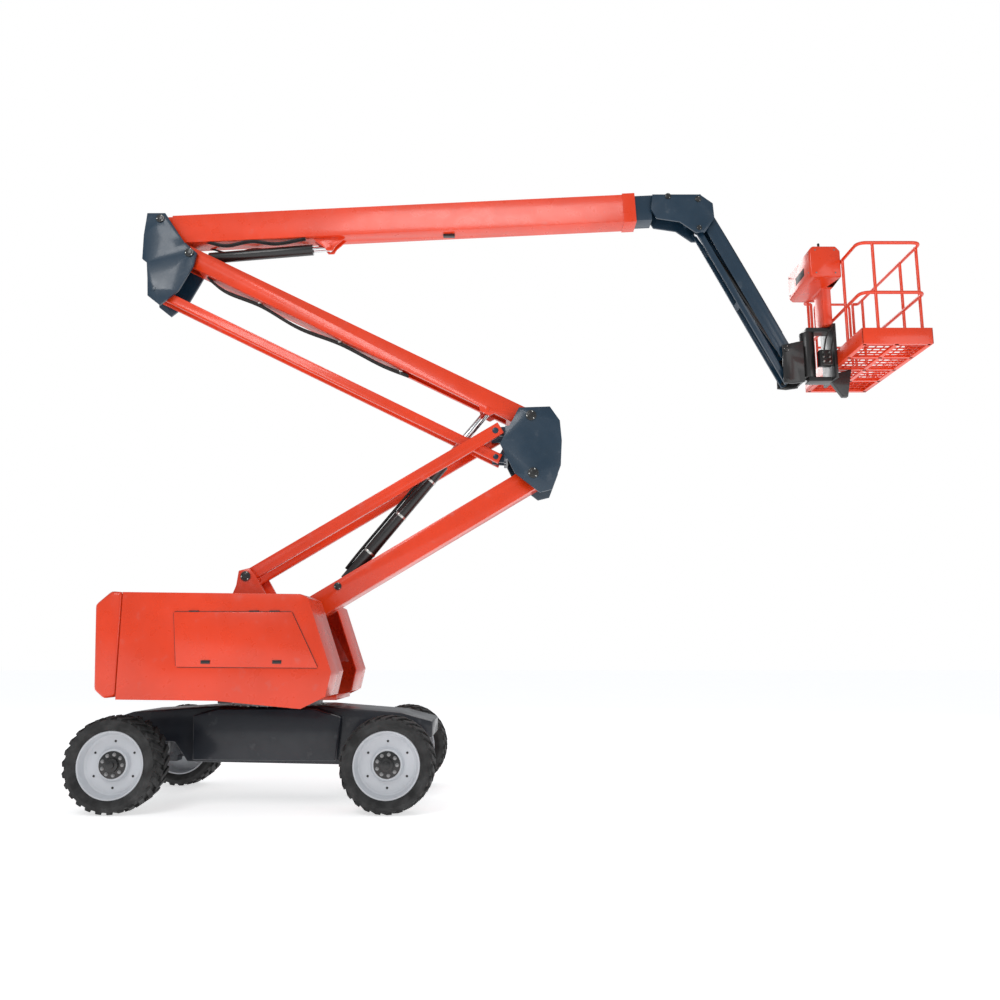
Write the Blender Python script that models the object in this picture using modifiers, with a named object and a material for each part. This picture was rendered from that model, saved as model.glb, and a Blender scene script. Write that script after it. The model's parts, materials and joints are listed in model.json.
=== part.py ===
"""Articulating boom lift, modelled at full size in metres with +Z up.

The origin is on the ground under the middle of the machine. +X points to the work platform, and the
counterweight is at -X. Each body's empty stands on its joint, and its pieces are parented to it.
"""

import math

import bmesh
import bpy
from mathutils import Matrix, Vector

# Clearances
TOUCH_GAP = 0.0004
PIN_CLEARANCE = 0.002
PIN_PROUD = 0.008
SLIDE_CLEARANCE = 0.005

# Wheels and axles
TYRE_RADIUS = 0.465
TYRE_WIDTH = 0.44
RIM_RADIUS = 0.33
WHEEL_CENTRE_Y = 0.98
STEER_AXLE_X = -4.0
WHEELBASE = 2.68
KINGPIN_Y = 0.69
AXLE_HALF_DEPTH = 0.1
HUB_RADIUS = 0.13

# Chassis and turntable
CHASSIS_HALF_WIDTH = 0.42
BELLY_HALF_WIDTH = 0.55
SLEW_X = -2.66
CHASSIS_TOP = 0.985
SLEW_RING_HEIGHT = 0.065
SLEW_RING_RADIUS = 0.475
DECK_THICKNESS = 0.05
DECK_HALF_WIDTH = 0.43
TOWER_INNER_Y = 0.262
TOWER_PLATE = 0.035
HOOD_INNER_Y = 0.45
HOOD_OUTER_Y = 1.15
HOOD_WALL = 0.012
HOOD_TOP = 2.124
DOOR_THICKNESS = 0.016

# Lower lift arm, its tension link and the middle knuckle
ARM_PIN_RADIUS = 0.035
LOWER_ARM_FOOT = Vector((-2.588, 0.0, 1.874))
LOWER_ARM_LENGTH = 3.211
LOWER_ARM_ANGLE = math.radians(31.22)
ARM_HALF_WIDTH = 0.15
ARM_WALL = 0.012
LOWER_ARM_ABOVE = 0.115
LOWER_ARM_BELOW = 0.145
TENSION_LINK_OFFSET = Vector((-0.427, 0.0, 0.502))
TENSION_LINK_HALF_DEPTH = 0.07
TENSION_LINK_Y = (0.19, 0.24)
KNUCKLE_RISE = Vector((-0.022, 0.0, 0.667))
KNUCKLE_OUTER_Y = (0.25, 0.28)

# Upper lift arm, its lower link and the upper knuckle
UPPER_ARM_LENGTH = 4.503
UPPER_ARM_ANGLE = math.radians(26.51)
UPPER_ARM_ABOVE = 0.09
UPPER_ARM_BELOW = 0.13
UPPER_LINK_OFFSET = Vector((-0.4, 0.0, -0.45))
UPPER_LINK_HALF_DEPTH = 0.055
UPPER_LINK_Y = (0.096, 0.144)
TOP_KNUCKLE_Y = (0.17, 0.2)

# Riser cylinder between the two lift arms
RISER_FOOT = Vector((0.564, 0.0, 0.402))
RISER_EYE = Vector((-0.501, 0.0, 0.116))
RISER_BARREL_RADIUS = 0.072
RISER_ROD_RADIUS = 0.045
RISER_BARREL_LENGTH = 1.82
RISER_ROD_BURIED = 0.93
NECK_LENGTH = 0.03

# Telescopic boom
BOOM_PIN = Vector((-0.371, 0.0, 0.433))
BOOM_ANGLE = math.radians(2.9)
BOOM_START = 0.115
BOOM_LENGTH = 5.68
BOOM_ABOVE = 0.07
BOOM_BELOW = 0.28
BOOM_HALF_WIDTH = 0.125
BOOM_WALL = 0.012
COLLAR_LENGTH = 0.15
COLLAR_RIM = 0.01
FLY_START = 0.5
FLY_END = 5.873
NOSE_PIN_ALONG = 6.079
NOSE_PIN_UP = 0.0124

# Boom lift cylinder
BOOM_CYLINDER_FOOT = Vector((0.094, 0.0, 0.015))
BOOM_LUG_ALONG = 1.977
BOOM_LUG_DOWN = 0.384
BOOM_BARREL_RADIUS = 0.065
BOOM_ROD_RADIUS = 0.035
BOOM_BARREL_LENGTH = 1.33
BOOM_ROD_BURIED = 1.02

# Jib and its mount at the boom's nose
JIB_PIN = Vector((0.362, 0.0, -0.038))
JIB_LENGTH = 2.113
JIB_ANGLE = math.radians(-62.97)
JIB_LINK_DROP = 0.37
JIB_HALF_WIDTH = 0.085
JIB_HALF_DEPTH = 0.085
JIB_WALL = 0.01
JIB_LINK_HALF_DEPTH = 0.034
JIB_LINK_Y = (0.058, 0.085)
MOUNT_Y = (0.115, 0.14)
JIB_PIN_RADIUS = 0.025
JIB_BARREL_RADIUS = 0.045
JIB_ROD_RADIUS = 0.025
JIB_BARREL_LENGTH = 1.5
JIB_ROD_BURIED = 0.8

# Work platform
ROTATOR_REACH = 0.292
ROTATOR_RADIUS = 0.085
PLATFORM_BACK = 0.278
PLATFORM_DEPTH = 0.767
PLATFORM_HALF_WIDTH = 0.915
PLATFORM_FLOOR_DROP = 0.215
FLOOR_THICKNESS = 0.03
TOE_BOARD_HEIGHT = 0.18
TOE_BOARD_WALL = 0.012
RAIL_TUBE_RADIUS = 0.019
TOP_RAIL_HEIGHT = 1.18
MID_RAIL_HEIGHT = 0.6
RAIL_CORNER = 0.12
GATE_WIDTH = 0.55
GATE_GAP = 0.045
CONTROL_BOX_DEPTH = 0.36
CONTROL_BOX_HEIGHT = 0.38
CONTROL_BOX_Y = (-0.45, 0.33)
CONTROL_BOX_BASE = 0.97
COLUMN_DEPTH = 0.11
COLUMN_HALF_WIDTH = 0.14
BRACKET_TOP = 0.29

SIDES = {"near": -1, "far": 1}


def along(start, angle, distance, up=0.0):
    """The point at this distance along a line in the XZ plane, and this far above it."""
    direction = Vector((math.cos(angle), 0.0, math.sin(angle)))
    normal = Vector((-math.sin(angle), 0.0, math.cos(angle)))
    return start + direction * distance + normal * up


# Pins, each worked out from the one that carries it
TENSION_FOOT = LOWER_ARM_FOOT + TENSION_LINK_OFFSET
KNUCKLE_LOW_PIN = along(LOWER_ARM_FOOT, LOWER_ARM_ANGLE, LOWER_ARM_LENGTH)
TENSION_END = KNUCKLE_LOW_PIN + TENSION_LINK_OFFSET
KNUCKLE_HIGH_PIN = KNUCKLE_LOW_PIN + KNUCKLE_RISE
UPPER_ARM_END = along(KNUCKLE_HIGH_PIN, math.pi - UPPER_ARM_ANGLE, UPPER_ARM_LENGTH)
LINK_LOW_PIN = KNUCKLE_HIGH_PIN + UPPER_LINK_OFFSET
LINK_HIGH_PIN = UPPER_ARM_END + UPPER_LINK_OFFSET
RISER_LOW_PIN = LOWER_ARM_FOOT + RISER_FOOT
RISER_HIGH_PIN = KNUCKLE_HIGH_PIN + RISER_EYE
BOOM_FOOT = UPPER_ARM_END + BOOM_PIN
BOOM_CYLINDER_PIN = UPPER_ARM_END + BOOM_CYLINDER_FOOT
BOOM_LUG_PIN = along(BOOM_FOOT, BOOM_ANGLE, BOOM_LUG_ALONG, -BOOM_LUG_DOWN)
NOSE_PIN = along(BOOM_FOOT, BOOM_ANGLE, NOSE_PIN_ALONG, NOSE_PIN_UP)
JIB_TOP_PIN = NOSE_PIN + JIB_PIN
JIB_LOW_PIN = JIB_TOP_PIN - Vector((0.0, 0.0, JIB_LINK_DROP))
PLATFORM_TOP_PIN = along(JIB_TOP_PIN, JIB_ANGLE, JIB_LENGTH)
PLATFORM_LOW_PIN = PLATFORM_TOP_PIN - Vector((0.0, 0.0, JIB_LINK_DROP))
ROTATOR = PLATFORM_TOP_PIN + Vector((ROTATOR_REACH, 0.0, 0.0))
PLATFORM_X = ROTATOR.x + PLATFORM_BACK
PLATFORM_END_X = PLATFORM_X + PLATFORM_DEPTH
FLOOR_Z = PLATFORM_TOP_PIN.z - PLATFORM_FLOOR_DROP
RING_TOP = CHASSIS_TOP + SLEW_RING_HEIGHT
DECK_BOTTOM = RING_TOP + TOUCH_GAP
DECK_TOP = DECK_BOTTOM + DECK_THICKNESS
DRIVE_AXLE_X = STEER_AXLE_X + WHEELBASE

# Places shared by more than one piece
DOOR_TOP_Z = 1.945
RAIL_INSET = 0.034
GATE_HINGE_X = PLATFORM_X + 0.12
PEDESTAL_HALF_WIDTH = 0.2
CHASSIS_BELLY = 0.39
CHASSIS_AXLE_CLEARANCE = 0.62
HOOD_SPLIT_X = STEER_AXLE_X

COLOURS = {
    "orange_paint": ((0.80, 0.10, 0.03, 1.0), 0.3, 0.0),
    "blue_paint": ((0.02, 0.09, 0.16, 1.0), 0.4, 0.0),
    "chassis_paint": ((0.03, 0.035, 0.05, 1.0), 0.45, 0.0),
    "black_paint": ((0.015, 0.015, 0.017, 1.0), 0.4, 0.0),
    "chrome": ((0.8, 0.8, 0.82, 1.0), 0.12, 1.0),
    "rubber": ((0.02, 0.02, 0.02, 1.0), 0.85, 0.0),
    "rim_paint": ((0.75, 0.77, 0.80, 1.0), 0.4, 0.0),
    "pin_steel": ((0.2, 0.2, 0.21, 1.0), 0.4, 1.0),
    "dark_plastic": ((0.03, 0.03, 0.03, 1.0), 0.6, 0.0),
}


def clear_scene():
    for thing in list(bpy.data.objects):
        bpy.data.objects.remove(thing, do_unlink=True)


def make_collection(name):
    collection = bpy.data.collections.new(name)
    bpy.context.scene.collection.children.link(collection)
    return collection


clear_scene()
MACHINE = make_collection("articulating_boom_lift")
CUTTERS = make_collection("cutters")
BODIES = {}


def finish_colour(name):
    """The Principled material of this name, made the first time it is asked for."""
    material = bpy.data.materials.get(name)
    if material is None:
        colour, roughness, metallic = COLOURS[name]
        material = bpy.data.materials.new(name)
        material.use_nodes = True
        shader = material.node_tree.nodes["Principled BSDF"]
        shader.inputs["Base Color"].default_value = colour
        shader.inputs["Roughness"].default_value = roughness
        shader.inputs["Metallic"].default_value = metallic
        material.diffuse_color = colour
    return material


def body(name, pivot, carrier=None):
    """An empty at the body's joint, carried by the empty of the body that it is hinged to."""
    empty = bpy.data.objects.new(name + "_pivot", None)
    MACHINE.objects.link(empty)
    empty.location = pivot
    if carrier:
        empty.parent = BODIES[carrier][0]
        empty.location = Vector(pivot) - BODIES[carrier][1]
    BODIES[name] = (empty, Vector(pivot))


def raw_object(mesh):
    """A loose piece, before it is joined into a node."""
    piece = bpy.data.objects.new("piece", mesh)
    CUTTERS.objects.link(piece)
    return piece


def piece_from(geometry):
    mesh = bpy.data.meshes.new("piece")
    bmesh.ops.recalc_face_normals(geometry, faces=geometry.faces)
    if geometry.calc_volume(signed=True) < 0:
        bmesh.ops.reverse_faces(geometry, faces=geometry.faces)
    geometry.to_mesh(mesh)
    geometry.free()
    return raw_object(mesh)


def block(low, high):
    """A box between two corners."""
    geometry = bmesh.new()
    bmesh.ops.create_cube(geometry, size=1.0)
    low, high = Vector(low), Vector(high)
    geometry.transform(Matrix.Translation((low + high) / 2) @ Matrix.Diagonal((*(high - low), 1.0)))
    return piece_from(geometry)


def rod(start, end, radius, sides=16):
    """A round bar between two points."""
    start, end = Vector(start), Vector(end)
    geometry = bmesh.new()
    bmesh.ops.create_cone(
        geometry, cap_ends=True, segments=sides, radius1=radius, radius2=radius, depth=(end - start).length
    )
    turn = (end - start).to_track_quat("Z", "Y").to_matrix().to_4x4()
    geometry.transform(Matrix.Translation((start + end) / 2) @ turn)
    return piece_from(geometry)


def pin(centre, half_length, radius, sides=12):
    """A round bar across the machine, through this point."""
    reach = Vector((0.0, half_length, 0.0))
    return rod(centre - reach, centre + reach, radius, sides)


def stub_pins(centre, inner_y, outer_y, radius):
    """A short pin on each side, with nothing between them."""
    return [
        rod(centre + Vector((0, side * inner_y, 0)), centre + Vector((0, side * outer_y, 0)), radius, 12)
        for side in SIDES.values()
    ]


def mesh_of_curve(curve):
    """The curve's evaluated mesh, with its caps welded."""
    holder = bpy.data.objects.new("curve", curve)
    CUTTERS.objects.link(holder)
    bpy.context.view_layer.update()
    evaluated = holder.evaluated_get(bpy.context.evaluated_depsgraph_get())
    mesh = bpy.data.meshes.new_from_object(evaluated)
    bpy.data.objects.remove(holder, do_unlink=True)
    geometry = bmesh.new()
    geometry.from_mesh(mesh)
    bmesh.ops.remove_doubles(geometry, verts=geometry.verts, dist=0.00001)
    return geometry


def plate(outline, low_y, high_y):
    """A flat plate whose outline is given as (x, z) points, from low_y to high_y."""
    curve = bpy.data.curves.new("outline", "CURVE")
    curve.dimensions = "2D"
    curve.fill_mode = "BOTH"
    curve.extrude = (high_y - low_y) / 2
    spline = curve.splines.new("POLY")
    spline.points.add(len(outline) - 1)
    for point, (x, z) in zip(spline.points, outline):
        point.co = (x, z, 0.0, 1.0)
    spline.use_cyclic_u = True
    geometry = mesh_of_curve(curve)
    stand_up = Matrix.Translation((0, (low_y + high_y) / 2, 0)) @ Matrix.Rotation(math.pi / 2, 4, "X")
    geometry.transform(stand_up)
    return piece_from(geometry)


def twin_plates(outline, inner_y, outer_y):
    """The same plate on both sides of the middle."""
    return [plate(outline, inner_y, outer_y), plate(outline, -outer_y, -inner_y)]


def tube(points, radius, cyclic=False, resolution=1):
    """A round tube along straight runs between these points."""
    curve = bpy.data.curves.new("tube", "CURVE")
    curve.dimensions = "3D"
    curve.bevel_depth = radius
    curve.bevel_resolution = resolution
    curve.use_fill_caps = True
    spline = curve.splines.new("POLY")
    spline.points.add(len(points) - 1)
    for place, point in zip(spline.points, points):
        place.co = (*point, 1.0)
    spline.use_cyclic_u = cyclic
    return piece_from(mesh_of_curve(curve))


def bar(start, angle, span, below, above, inner_y, outer_y):
    """A straight bar in the XZ plane: span is its two ends measured from start along the angle."""
    corners = [(span[0], -below), (span[1], -below), (span[1], above), (span[0], above)]
    points = [along(start, angle, distance, up) for distance, up in corners]
    return plate([(point.x, point.z) for point in points], inner_y, outer_y)


def turned(profile, centre, axis_turn, sides):
    """A ring turned from a closed (radius, offset) profile about an axis through centre."""
    curve_mesh = bpy.data.meshes.new("profile")
    points = [(radius, 0.0, offset) for radius, offset in profile]
    pairs = [(index, (index + 1) % len(points)) for index in range(len(points))]
    edges = [pair for pair in pairs if any(profile[index][0] > 0 for index in pair)]
    curve_mesh.from_pydata(points, edges, [])
    holder = raw_object(curve_mesh)
    screw = holder.modifiers.new("turn", "SCREW")
    screw.steps = sides
    screw.render_steps = sides
    screw.use_merge_vertices = True
    screw.merge_threshold = 0.0001
    bpy.context.view_layer.update()
    evaluated = holder.evaluated_get(bpy.context.evaluated_depsgraph_get())
    geometry = bmesh.new()
    geometry.from_mesh(bpy.data.meshes.new_from_object(evaluated))
    bpy.data.objects.remove(holder, do_unlink=True)
    bmesh.ops.remove_doubles(geometry, verts=geometry.verts, dist=0.00001)
    geometry.transform(Matrix.Translation(centre) @ axis_turn)
    return piece_from(geometry)


def combine(base, others, operation):
    """Applies a Boolean of the base with the other pieces, then removes them."""
    for other in others:
        modifier = base.modifiers.new(operation.lower(), "BOOLEAN")
        modifier.operation = operation
        modifier.object = other
    bpy.context.view_layer.update()
    evaluated = base.evaluated_get(bpy.context.evaluated_depsgraph_get())
    mesh = bpy.data.meshes.new_from_object(evaluated)
    base.modifiers.clear()
    base.data = mesh
    for other in others:
        bpy.data.objects.remove(other, do_unlink=True)


def node(name, body_name, colour, pieces, cuts=()):
    """Joins the pieces, takes the cuts out and hangs the result on its body's empty."""
    base, others = pieces[0], list(pieces[1:])
    if others:
        combine(base, others, "UNION")
    if cuts:
        combine(base, list(cuts), "DIFFERENCE")
    empty, pivot = BODIES[body_name]
    geometry = bmesh.new()
    geometry.from_mesh(base.data)
    bmesh.ops.remove_doubles(geometry, verts=geometry.verts, dist=0.000001)
    bmesh.ops.triangulate(geometry, faces=geometry.faces)
    geometry.transform(Matrix.Translation(-pivot))
    mesh = bpy.data.meshes.new(name)
    geometry.to_mesh(mesh)
    geometry.free()
    bpy.data.objects.remove(base, do_unlink=True)
    mesh.materials.append(finish_colour(colour))
    mesh.shade_smooth()
    mesh.set_sharp_from_angle(angle=math.radians(30))
    piece = bpy.data.objects.new(name, mesh)
    MACHINE.objects.link(piece)
    piece.parent = empty
    return piece


def make_bodies():
    """Every moving body, placed on its joint."""
    y_only = Vector((0, 1, 0))
    body("chassis", Vector((0, 0, 0)))
    body("turntable", Vector((SLEW_X, 0, RING_TOP)), "chassis")
    for side, sign in SIDES.items():
        body(f"steer_{side}", Vector((STEER_AXLE_X, 0, TYRE_RADIUS)) + y_only * sign * KINGPIN_Y, "chassis")
        wheel_y = y_only * sign * WHEEL_CENTRE_Y
        body(f"steer_wheel_{side}", Vector((STEER_AXLE_X, 0, TYRE_RADIUS)) + wheel_y, f"steer_{side}")
        body(f"drive_wheel_{side}", Vector((DRIVE_AXLE_X, 0, TYRE_RADIUS)) + wheel_y, "chassis")
        hinge = Vector((0, sign * HOOD_OUTER_Y, DOOR_TOP_Z))
        body(f"door_{side}", hinge, "turntable")
    body("lower_arm", LOWER_ARM_FOOT, "turntable")
    body("tension_link", TENSION_FOOT, "turntable")
    body("mid_knuckle", KNUCKLE_LOW_PIN, "lower_arm")
    body("upper_arm", KNUCKLE_HIGH_PIN, "mid_knuckle")
    body("upper_link", LINK_LOW_PIN, "mid_knuckle")
    body("upper_knuckle", UPPER_ARM_END, "upper_arm")
    body("riser_barrel", RISER_LOW_PIN, "lower_arm")
    body("riser_rod", RISER_LOW_PIN, "riser_barrel")
    body("boom", BOOM_FOOT, "upper_knuckle")
    body("boom_barrel", BOOM_CYLINDER_PIN, "upper_knuckle")
    body("boom_rod", BOOM_CYLINDER_PIN, "boom_barrel")
    body("fly_boom", BOOM_FOOT, "boom")
    body("jib_mount", NOSE_PIN, "fly_boom")
    body("jib", JIB_TOP_PIN, "jib_mount")
    body("jib_link", JIB_LOW_PIN, "jib_mount")
    body("jib_barrel", PLATFORM_TOP_PIN, "jib")
    body("jib_rod", PLATFORM_TOP_PIN, "jib_barrel")
    body("platform_mount", PLATFORM_TOP_PIN, "jib")
    body("platform", ROTATOR, "platform_mount")
    body("gate", Vector((GATE_HINGE_X + GATE_GAP, PLATFORM_HALF_WIDTH - RAIL_INSET, FLOOR_Z)), "platform")


def axle_nodes():
    """The two axle beams, each with a pedestal that the chassis sits on."""
    for name, axle_x, reach in (
        ("steer_axle", STEER_AXLE_X, KINGPIN_Y - 0.075),
        ("drive_axle", DRIVE_AXLE_X, WHEEL_CENTRE_Y - 0.16),
    ):
        low_z, high_z = TYRE_RADIUS - 0.07, TYRE_RADIUS + 0.07
        beam = block((axle_x - AXLE_HALF_DEPTH, -reach, low_z), (axle_x + AXLE_HALF_DEPTH, reach, high_z))
        pedestal = block(
            (axle_x - 0.16, -PEDESTAL_HALF_WIDTH, TYRE_RADIUS),
            (axle_x + 0.16, PEDESTAL_HALF_WIDTH, CHASSIS_AXLE_CLEARANCE - TOUCH_GAP),
        )
        pieces = [beam, pedestal]
        centre = Vector((axle_x, 0, TYRE_RADIUS))
        if name == "steer_axle":
            for sign in SIDES.values():
                for fork_low, fork_high in ((-0.15, -0.1), (0.1, 0.15)):
                    fork = block(
                        (axle_x - 0.055, min(sign * (reach - 0.06), sign * (KINGPIN_Y + 0.04)), fork_low + centre.z),
                        (axle_x + 0.055, max(sign * (reach - 0.06), sign * (KINGPIN_Y + 0.04)), fork_high + centre.z),
                    )
                    web = block(
                        (axle_x - 0.055, min(sign * (reach - 0.06), sign * reach), min(fork_low, 0.0) + centre.z),
                        (axle_x + 0.055, max(sign * (reach - 0.06), sign * reach), max(fork_high, 0.0) + centre.z),
                    )
                    pieces += [fork, web]
        else:
            gearbox = rod(centre - Vector((0, 0.12, 0)), centre + Vector((0, 0.12, 0)), 0.155, 20)
            pieces.append(gearbox)
        node(name, "chassis", "chassis_paint", pieces)


def chassis_node():
    """A box frame that is wide between the wheels and narrow over the axles."""
    left, right = STEER_AXLE_X - 0.4, DRIVE_AXLE_X + 0.39
    spine = [
        (left, CHASSIS_AXLE_CLEARANCE + 0.04), (STEER_AXLE_X + 0.36, CHASSIS_AXLE_CLEARANCE),
        (STEER_AXLE_X + 0.5, CHASSIS_BELLY + 0.03), (DRIVE_AXLE_X - 0.55, CHASSIS_BELLY),
        (DRIVE_AXLE_X - 0.4, CHASSIS_AXLE_CLEARANCE), (right, CHASSIS_AXLE_CLEARANCE + 0.05),
        (right, 0.83), (DRIVE_AXLE_X + 0.05, 0.92), (SLEW_X + 0.55, CHASSIS_TOP),
        (SLEW_X - 0.55, CHASSIS_TOP), (STEER_AXLE_X - 0.1, 0.93), (left, 0.83),
    ]
    belly = [
        (STEER_AXLE_X + 0.6, CHASSIS_BELLY + 0.06), (DRIVE_AXLE_X - 0.6, CHASSIS_BELLY + 0.05),
        (DRIVE_AXLE_X - 0.56, 0.88), (SLEW_X + 0.5, CHASSIS_TOP - 0.02),
        (SLEW_X - 0.5, CHASSIS_TOP - 0.02), (STEER_AXLE_X + 0.58, 0.9),
    ]
    node(
        "chassis", "chassis", "chassis_paint",
        [plate(spine, -CHASSIS_HALF_WIDTH, CHASSIS_HALF_WIDTH), plate(belly, -BELLY_HALF_WIDTH, BELLY_HALF_WIDTH)],
    )
    slew_centre = Vector((SLEW_X, 0, 0))
    ring_low = slew_centre + Vector((0, 0, CHASSIS_TOP + TOUCH_GAP))
    ring_high = slew_centre + Vector((0, 0, RING_TOP))
    node("slew_ring", "chassis", "pin_steel", [rod(ring_low, ring_high, SLEW_RING_RADIUS, 32)])


def wheel_nodes():
    """Four tyres on dished rims, and the steer knuckles that two of them turn on."""
    half = TYRE_WIDTH / 2
    tyre_profile = [
        (TYRE_RADIUS, half * 0.62), (TYRE_RADIUS - 0.015, half * 0.86), (TYRE_RADIUS - 0.06, half),
        (RIM_RADIUS + 0.04, half * 0.96), (RIM_RADIUS, half * 0.84), (RIM_RADIUS, -half * 0.84),
        (RIM_RADIUS + 0.04, -half * 0.96), (TYRE_RADIUS - 0.06, -half), (TYRE_RADIUS - 0.015, -half * 0.86),
        (TYRE_RADIUS, -half * 0.62),
    ]
    rim_outer = RIM_RADIUS - TOUCH_GAP
    rim_profile = [
        (rim_outer, half * 0.8), (rim_outer - 0.015, half * 0.8), (rim_outer - 0.045, half * 0.35),
        (0.17, half * 0.28), (0.15, half * 0.5), (0.0, half * 0.5), (0.0, half * 0.12),
        (0.16, half * 0.12), (rim_outer - 0.035, half * 0.14), (rim_outer - 0.015, -half * 0.8),
        (rim_outer, -half * 0.8),
    ]
    for axle, axle_x in (("steer", STEER_AXLE_X), ("drive", DRIVE_AXLE_X)):
        for side, sign in SIDES.items():
            centre = Vector((axle_x, sign * WHEEL_CENTRE_Y, TYRE_RADIUS))
            face_out = Matrix.Rotation(-sign * math.pi / 2, 4, "X")
            wheel = f"{axle}_wheel_{side}"
            node(f"{axle}_tyre_{side}", wheel, "rubber", [turned(tyre_profile, centre, face_out, 24)])
            node(f"{axle}_rim_{side}", wheel, "rim_paint", [turned(rim_profile, centre, face_out, 24)])
    hub_face = WHEEL_CENTRE_Y + half * 0.12 - SLIDE_CLEARANCE
    for side, sign in SIDES.items():
        kingpin = Vector((STEER_AXLE_X, sign * KINGPIN_Y, TYRE_RADIUS))
        upright = rod(kingpin - Vector((0, 0, 0.096)), kingpin + Vector((0, 0, 0.096)), 0.05, 16)
        hub = rod(kingpin, Vector((STEER_AXLE_X, sign * hub_face, TYRE_RADIUS)), 0.06, 16)
        drum_start = Vector((STEER_AXLE_X, sign * (KINGPIN_Y + 0.12), TYRE_RADIUS))
        drum = rod(drum_start, Vector((STEER_AXLE_X, sign * hub_face, TYRE_RADIUS)), HUB_RADIUS, 20)
        node(f"steer_knuckle_{side}", f"steer_{side}", "chassis_paint", [upright, hub, drum])
        hub_start = Vector((DRIVE_AXLE_X, sign * (WHEEL_CENTRE_Y - 0.16 + TOUCH_GAP), TYRE_RADIUS))
        hub_end = Vector((DRIVE_AXLE_X, sign * hub_face, TYRE_RADIUS))
        node(f"drive_hub_{side}", "chassis", "chassis_paint", [rod(hub_start, hub_end, HUB_RADIUS, 20)])


def turntable_nodes():
    """The deck with its tower plates, the counterweight, the hoods and what they cover."""
    low_pin, high_pin = LOWER_ARM_FOOT, TENSION_FOOT
    deck = block((STEER_AXLE_X + 0.01, -DECK_HALF_WIDTH, DECK_BOTTOM), (-1.95, DECK_HALF_WIDTH, DECK_TOP))
    tower_outline = [
        (high_pin.x - 0.55, DECK_TOP - 0.01), (low_pin.x + 0.35, DECK_TOP - 0.01), (low_pin.x + 0.12, low_pin.z - 0.25),
        (low_pin.x + 0.09, low_pin.z + 0.07), (low_pin.x - 0.1, low_pin.z + 0.14), (high_pin.x + 0.1, high_pin.z + 0.02),
        (high_pin.x + 0.03, high_pin.z + 0.09), (high_pin.x - 0.08, high_pin.z + 0.06), (high_pin.x - 0.1, high_pin.z - 0.1),
    ]
    outer = TOWER_INNER_Y + TOWER_PLATE
    pieces = [deck, *twin_plates(tower_outline, TOWER_INNER_Y, outer)]
    pieces.append(pin(low_pin, outer + PIN_PROUD, ARM_PIN_RADIUS))
    pieces += stub_pins(high_pin, TENSION_LINK_Y[0] - 0.012, outer + PIN_PROUD, ARM_PIN_RADIUS)
    node("turntable_deck", "turntable", "orange_paint", pieces)

    tail = -4.264
    cap = [
        (HOOD_SPLIT_X, 1.13), (HOOD_SPLIT_X, HOOD_TOP + 0.02), (tail + 0.15, HOOD_TOP + 0.03), (tail, 2.02),
        (tail + 0.047, 1.184), (tail + 0.15, 1.097),
    ]
    slot = block((tail - 0.1, -DECK_HALF_WIDTH - 0.005, 1.68), (HOOD_SPLIT_X + 0.1, DECK_HALF_WIDTH + 0.005, 2.4))
    node("counterweight", "turntable", "orange_paint", [plate(cap, -HOOD_OUTER_Y, HOOD_OUTER_Y)], [slot])

    hood = [
        (HOOD_SPLIT_X + 0.006, 1.09), (-3.012, 1.078), (-2.175, 1.0), (-1.934, 1.116), (-1.883, 1.357),
        (-2.137, 2.084), (-2.218, HOOD_TOP), (HOOD_SPLIT_X + 0.006, HOOD_TOP + 0.02),
    ]
    inner = [
        (HOOD_SPLIT_X - 0.2, 0.8), (-2.19, 0.8), (-1.95, 1.12), (-1.9, 1.352), (-2.148, 2.075),
        (-2.222, HOOD_TOP - HOOD_WALL), (HOOD_SPLIT_X - 0.2, HOOD_TOP + 0.02 - HOOD_WALL),
    ]
    door = [(-3.468, DOOR_TOP_Z), (-2.291, DOOR_TOP_Z), (-2.013, 1.396), (-3.415, 1.406)]
    doorway = [(-3.43, DOOR_TOP_Z - 0.04), (-2.33, DOOR_TOP_Z - 0.04), (-2.09, 1.44), (-3.38, 1.445)]
    for side, sign in SIDES.items():
        ends = sorted((sign * HOOD_INNER_Y, sign * HOOD_OUTER_Y))
        hollow = sorted((sign * (HOOD_INNER_Y - 0.1), sign * (HOOD_OUTER_Y - HOOD_WALL)))
        opening = sorted((sign * (HOOD_OUTER_Y - 0.2), sign * (HOOD_OUTER_Y + 0.1)))
        node(f"hood_{side}", "turntable", "orange_paint", [plate(hood, *ends)], [plate(inner, *hollow), plate(doorway, *opening)])
        leaf = sorted((sign * (HOOD_OUTER_Y + TOUCH_GAP * 2), sign * (HOOD_OUTER_Y + DOOR_THICKNESS)))
        node(f"hood_door_{side}", f"door_{side}", "orange_paint", [plate(door, *leaf)])
        shelf_y = sorted((sign * (DECK_HALF_WIDTH + TOUCH_GAP), sign * (HOOD_OUTER_Y - HOOD_WALL - 0.02)))
        tray = block((HOOD_SPLIT_X + 0.04, shelf_y[0], 1.11), (-2.25, shelf_y[1], 1.13))
        node(f"side_tray_{side}", "turntable", "chassis_paint", [tray])
    node("engine_block", "turntable", "black_paint", [block((-3.3, 0.52, 1.131), (-2.5, 1.02, 1.78))])
    node("hydraulic_tank", "turntable", "black_paint", [block((-3.85, -1.02, 1.131), (-3.2, -0.55, 1.75))])
    node("ground_controls", "turntable", "dark_plastic", [block((-3.05, -1.02, 1.131), (-2.75, -0.7, 1.55))])



def bores(centres, radius, reach):
    """Cutters for the pins through these points."""
    return [pin(centre, reach, radius + PIN_CLEARANCE) for centre in centres]


def offset_outline(origin, points):
    return [(origin.x + x, origin.z + z) for x, z in points]


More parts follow.
